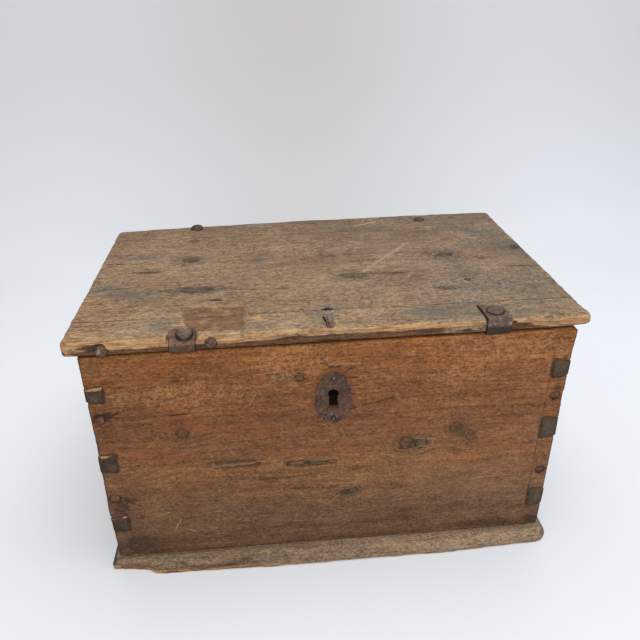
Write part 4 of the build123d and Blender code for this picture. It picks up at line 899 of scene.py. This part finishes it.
rust = iron("iron.rust", lin(38, 25, 19), lin(80, 56, 43), lin(120, 92, 72), flake=0.4)
left_rust = iron("iron.left", lin(58, 40, 30), lin(108, 79, 60), lin(146, 116, 92), flake=0.4)
strap_rust = iron("iron.strap", lin(46, 35, 29), lin(98, 78, 65), lin(134, 113, 96), flake=0.12)
nail_rust = iron("iron.nail", lin(44, 29, 23), lin(94, 66, 53), lin(142, 112, 92), flake=0.4)
staple_rust = iron("iron.staple", lin(60, 36, 32), lin(118, 76, 68), lin(158, 116, 104), flake=0.2)
lock_rust = iron("iron.lock", lin(34, 27, 24), lin(66, 56, 49), lin(98, 85, 75), flake=0.2, metallic=0.3)
peg_wood = wood("pine.peg", "yxz", PINE, 3.0, (0.0, 0.0))


def forged(node, body, voxel, material, depth=0.16, smooth=2, keep=None, extra=None):
    """A piece of iron with a hammered, pitted skin. keep is 1 where it has to stay as it is."""
    s = begin(node, voxel)
    hold = np.zeros(len(s.co)) if keep is None else keep(s)
    s.smooth((0.45 * (1 - hold))[:, None], smooth)
    skin = depth * s.noise((7, 7, 7), 41, 3) + 0.7 * depth * s.noise((2.2, 2.2, 2.2), 42, 2)
    pits = -1.8 * depth * step(s.noise((3.0, 3.0, 3.0), 43, 2), 0.3, 0.75)
    s.push((skin + pits) * (1 - hold), s.start_normals)
    masks = {"shade": 0.0 * s.x, "bright": 0.0 * s.x}
    if extra:
        extra(s, masks)
    for name, values in masks.items():
        s.mask(name, values)
    return s.finish(body, "rusty_iron", material)


def turned_strap(s, masks):
    """The strap's end has painted shade round the rivet, on its sides and under the bend, and painted
    highlights on the bend.
    """
    on_top = step(s.z, 238.5, 240.0) * step(-s.y, 95, 100)
    wrap = step(-s.y, 112, 120)
    sides = step(np.abs(s.start_normals[:, 0]), 0.35, 0.7)
    for cx, cy, r in RIVETS:
        away = np.hypot(s.x - cx, s.y - cy)
        masks["shade"] += on_top * np.exp(-(((away - r - 0.3) / 0.6) ** 2)) * 0.9
    masks["shade"] += on_top * sides * 0.8 + (0.5 + 0.2 * (s.x > 0)) * step(-s.z, -243.8, -242.0) * wrap
    masks["shade"] += 0.5 * step(-s.z, -236.5, -235.0) * wrap
    s.co[:, 2] += 1.3 * step(-s.z, -239.0, -236.5) * wrap * (s.x < 0)
    flecks = step(s.noise((2.6, 2.6, 2.6), 49, 2), 0.0, 0.5)
    lit = np.where(s.x > 0, 1.0, 0.35)
    masks["bright"] += lit * wrap * np.exp(-(((s.z - 245.4) / 1.2) ** 2)) * (0.3 + 0.7 * flecks)
    masks["shade"] += 0.5 * step(s.z, 244.0, 246.0) * wrap * sides


def heads(s, masks):
    """Hammered heads with painted shade round the foot; the left one has painted highlights behind and
    right of its middle, and painted shade on its left and front.
    """
    for cx, cy, r in RIVETS:
        dx, dy = s.x - cx, s.y - cy
        away = np.hypot(dx, dy)
        here = away < 12
        masks["shade"] += step(away, r - 1.3, r - 0.2) * here * step(s.z, 246.0, 247.0)
        if cx < 0:
            grow = 0.7 * step(s.z, 248.0, 250.0) * step(away, 2.0, 6.0) * here
            s.co[:, :2] += grow[:, None] * np.stack([dx, dy], 1) / np.maximum(away, 0.1)[:, None]
            glint = step(s.noise((2.0, 1.6, 2.0), 51, 2), -0.2, 0.2) * spot(dx, dy, 0.5, 4.0, 3.4, 1.5)
            masks["bright"] += (1.8 * glint + 0.4 * spot(dx, dy, 2.8, -0.5, 2.6, 2.2)) * here
            masks["shade"] += (0.35 * step(-dx, 1.5, 5.0) + 0.25 * step(-dy, 1.0, 4.0)) * here


def nail_faces(s, masks):
    """The big nails have painted shade at the rim and are pale in flecks near the middle of the face."""
    for cx, cz in NAIL_FACES:
        away = np.hypot(s.x - cx, s.z - cz)
        here = (away < 9) * step(-s.start_normals[:, 1], 0.2, 0.7)
        masks["bright"] += (here * step(s.noise((2.2, 2.2, 2.2), 55, 2), 0.0, 0.5)
                            * step(-away, -4.0, -2.0) * 0.6)
        masks["shade"] += (away < 9) * step(away, 3.9, 5.3) * 0.8


def plate_edge(s, masks):
    """The escutcheon's rim has painted highlights in flecks, mostly at its foot, and painted shade between
    them; its face has pale specks, a painted glint at the keyhole's foot and dark blotches.
    """
    front = step(-s.start_normals[:, 1], 0.5, 0.9)
    rim = s.rim(front)
    flick = step(s.noise((2.4, 2.4, 2.4), 52, 2), 0.1, 0.5)
    masks["bright"] += rim * flick * (0.5 + 0.7 * step(-s.z, -175, -160))
    masks["bright"] += 0.45 * front * step(s.noise((1.7, 1.7, 1.7), 56, 2), 0.5, 0.9)
    masks["bright"] += 0.6 * front * flick * spot(s.x, s.z, 0.5, 164.5, 6, 3)
    masks["shade"] += rim * (1 - flick) * 0.55 + 0.4 * step(s.noise((4, 4, 4), 53, 2), 0.2, 0.6)


def tack_faces(s, masks):
    """The escutcheon's nails have a painted highlight on the face and stand in rings of painted shade."""
    away = np.hypot(s.x + 0.2, np.minimum(np.abs(s.z - s.z.max()), np.abs(s.z - s.z.min())) - 1.5)
    masks["bright"] += 0.7 * step(-away, -1.2, -0.4) * step(-s.start_normals[:, 1], 0.5, 0.9)
    masks["shade"] += 0.7 * step(away, 1.2, 1.8)


def bearing(s):
    """Where a strap's eye turns on its pin."""
    return step(s.y, 120.0, 124.0)


def leaf_bearing(s):
    """Where a back leaf's knuckles hold the pin."""
    return step(s.z, 222.0, 225.0)


def clench_shade(s, masks):
    """Only the front leg's bent end comes up to the light; the iron has painted shade low down and over the
    rear hole, as if sunk into the wood, and a dust colour elsewhere behind the bend.
    """
    rear = step(s.y, -104.0, -102.0) * step(-s.y, 89.4, 90.4)
    masks["shade"] += 0.5 * step(-s.z, -247.0, -246.0) + rear
    masks["dust"] = 0.9 * step(s.y, -116.5, -114.0) * (1 - rear)


def legs(s):
    """Where the staple passes through the lid and the lock."""
    return step(-s.z, -246.5, -245.5)


NAIL_FACES = ((-183.3, 241.5), (-98.2, 243.0))  # middles of the edge nails (x, z)
RIVETS = [(-119.1, -123.6, 6.8), (136.4, -117.3, 7.3)]
forged("left_hinge_strap", "lid", 0.7, left_rust, keep=bearing, extra=turned_strap)
forged("right_hinge_strap", "lid", 0.7, strap_rust, keep=bearing, extra=turned_strap)
forged("strap_front_rivets", "lid", 0.42, strap_rust, depth=0.2, extra=heads)
forged("strap_rear_rivets", "lid", 0.45, rust, smooth=3)
forged("lid_edge_nails", "lid", 0.4, nail_rust, depth=0.35, smooth=3, extra=nail_faces)
forged("lock_staple", "lid", 0.4, staple_rust, depth=0.1, smooth=1, keep=legs, extra=clench_shade)
forged("escutcheon", "case", 0.42, rust, depth=0.2, smooth=1, extra=plate_edge)
forged("escutcheon_nails", "case", 0.3, rust, depth=0.12, smooth=1, extra=tack_faces)
for leaf in ("left_back_leaf", "right_back_leaf"):
    forged(leaf, "case", 0.8, strap_rust, smooth=1, keep=leaf_bearing)


PEG_X = 196.5
PEG_HEIGHTS = (172.5, 85.0)


def peg_ends():
    s = begin("corner_pegs", 0.8)
    s.smooth(0.3, 1)
    shown = step(-s.start_normals[:, 1], 0.4, 0.8) * step(-s.y, 120, 125)
    s.co[:, 1] -= np.where(s.x > 0, 0.05, 0.35) * shown * step(-s.y, 126, 127.5)
    away = np.minimum(*(np.hypot(np.abs(s.x) - PEG_X, s.z - z) for z in PEG_HEIGHTS))
    spread(s)
    rough = s.noise((5, 5, 2.2), 45, 2)
    s.mask("end", 0.4 + 0 * s.x)
    s.mask("dark", 0.4 + 0.9 * rough)
    s.mask("rust", 0.7 * shown)
    rim = np.where(s.x > 0, 0.1, 0.3) * step(away + 2.4 * rough, 3.0, 4.6)
    s.mask("outline", shown * (rim + 0.6 * step(rough, 0.2, 0.6)))
    return s.finish("case", "peg_wood", peg_wood)


peg_ends()
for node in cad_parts.values():
    if not node.hide_render:
        node.data.materials.clear()
        node.data.materials.append(lock_rust if "lock" in node.name or "bolt" in node.name else rust)

# ---------------- floor, light, camera


def backdrop():
    """A pale sheet that runs along the floor and curves up behind."""
    near_end, curve_start, curve_radius, curve_steps, half_width, wall_top = -2.6, 0.55, 0.75, 18, 3.0, 3.2
    profile = [(near_end, 0.0), (curve_start, 0.0)]
    centre, radius = (curve_start, curve_radius), curve_radius
    for k in range(1, curve_steps + 1):
        a = math.pi / 2 * k / curve_steps
        profile.append((centre[0] + radius * math.sin(a), centre[1] - radius * math.cos(a)))
    profile.append((curve_start + curve_radius, wall_top))
    verts = [(x, y, z) for y, z in profile for x in (-half_width, half_width)]
    faces = [(2 * k, 2 * k + 1, 2 * k + 3, 2 * k + 2) for k in range(len(profile) - 1)]
    mesh = bpy.data.meshes.new("backdrop")
    mesh.from_pydata(verts, [], faces)
    for p in mesh.polygons:
        p.use_smooth = True
    sheet = bpy.data.objects.new("backdrop", mesh)
    scene.collection.objects.link(sheet)
    g = Graph("paper")
    soft = g.noise(g.stretched((420.0, 420.0, 420.0)), 2) * 0.06
    # painted shade darkens the sheet up the wall and behind the middle, and painted pools of light brighten
    # it at both sides; soft is the paper's uneven tone
    wall = g.step(g.z, 15.0, 330.0)
    middle = g.gauss((g.x - 60.0) / 420.0) * g.step(g.y, 450.0, 800.0)
    glow = (g.gauss((g.x + 520.0) / 330.0, (g.y - 420.0) / 420.0)
            + g.gauss((g.x - 620.0) / 360.0, (g.y - 480.0) / 420.0))
    shade_and_tone = wall * 0.17 + middle * 0.5 + soft - glow * 0.4 + 0.2
    colour = g.ramp(shade_and_tone, [(0.0, (0.90, 0.91, 0.93, 1)), (0.2, (0.84, 0.85, 0.87, 1)),
                           (1.0, (0.65, 0.615, 0.59, 1))])
    mesh.materials.append(g.finish(colour, 0.9, specular=0.1))


def area(name, place, target, size, power, colour=(1, 1, 1)):
    light = bpy.data.lights.new(name, "AREA")
    light.shape, light.size, light.energy, light.color = "DISK", size, power, colour
    lamp = bpy.data.objects.new(name, light)
    lamp.location = place
    lamp.rotation_euler = (Vector(target) - Vector(place)).to_track_quat("-Z", "Y").to_euler()
    scene.collection.objects.link(lamp)


def camera():
    """The photograph's viewpoint, as fitted to the box's edges."""
    focal_px, image_px, sensor = 629.8, 640, 36.0
    yaw, pitch, roll = (math.radians(a) for a in (5.0, -28.12, -0.68))
    ahead = Vector((math.sin(yaw) * math.cos(pitch), math.cos(yaw) * math.cos(pitch), math.sin(pitch)))
    right = Vector((math.cos(yaw), -math.sin(yaw), 0))
    up = right.cross(ahead)
    side = math.cos(roll) * right + math.sin(roll) * up
    top = -math.sin(roll) * right + math.cos(roll) * up
    data = bpy.data.cameras.new("camera")
    data.sensor_width, data.lens = sensor, focal_px / image_px * sensor
    data.clip_start = 0.01
    ob = bpy.data.objects.new("camera", data)
    turn = Matrix((side, top, -ahead)).transposed().to_4x4()
    ob.matrix_world = Matrix.Translation((-0.0495, -0.5677, 0.4927)) @ turn
    scene.collection.objects.link(ob)
    scene.camera = ob


backdrop()
area("top", (0.2, -0.2, 2.3), (0, 0, 0.1), 2.4, 32, (0.97, 0.985, 1.0))
area("front", (-0.1, -1.7, 1.5), (0, 0, 0.1), 1.2, 27, (0.97, 0.985, 1.0))
area("right", (1.5, -0.4, 1.3), (0, 0, 0.1), 1.2, 3.4, (0.5, 0.75, 1.0))
sky = bpy.data.worlds.new("sky")
sky.use_nodes = True
sky.node_tree.nodes["Background"].inputs[0].default_value = (0.97, 0.98, 1.0, 1)
sky.node_tree.nodes["Background"].inputs[1].default_value = 0.13
scene.world = sky
camera()
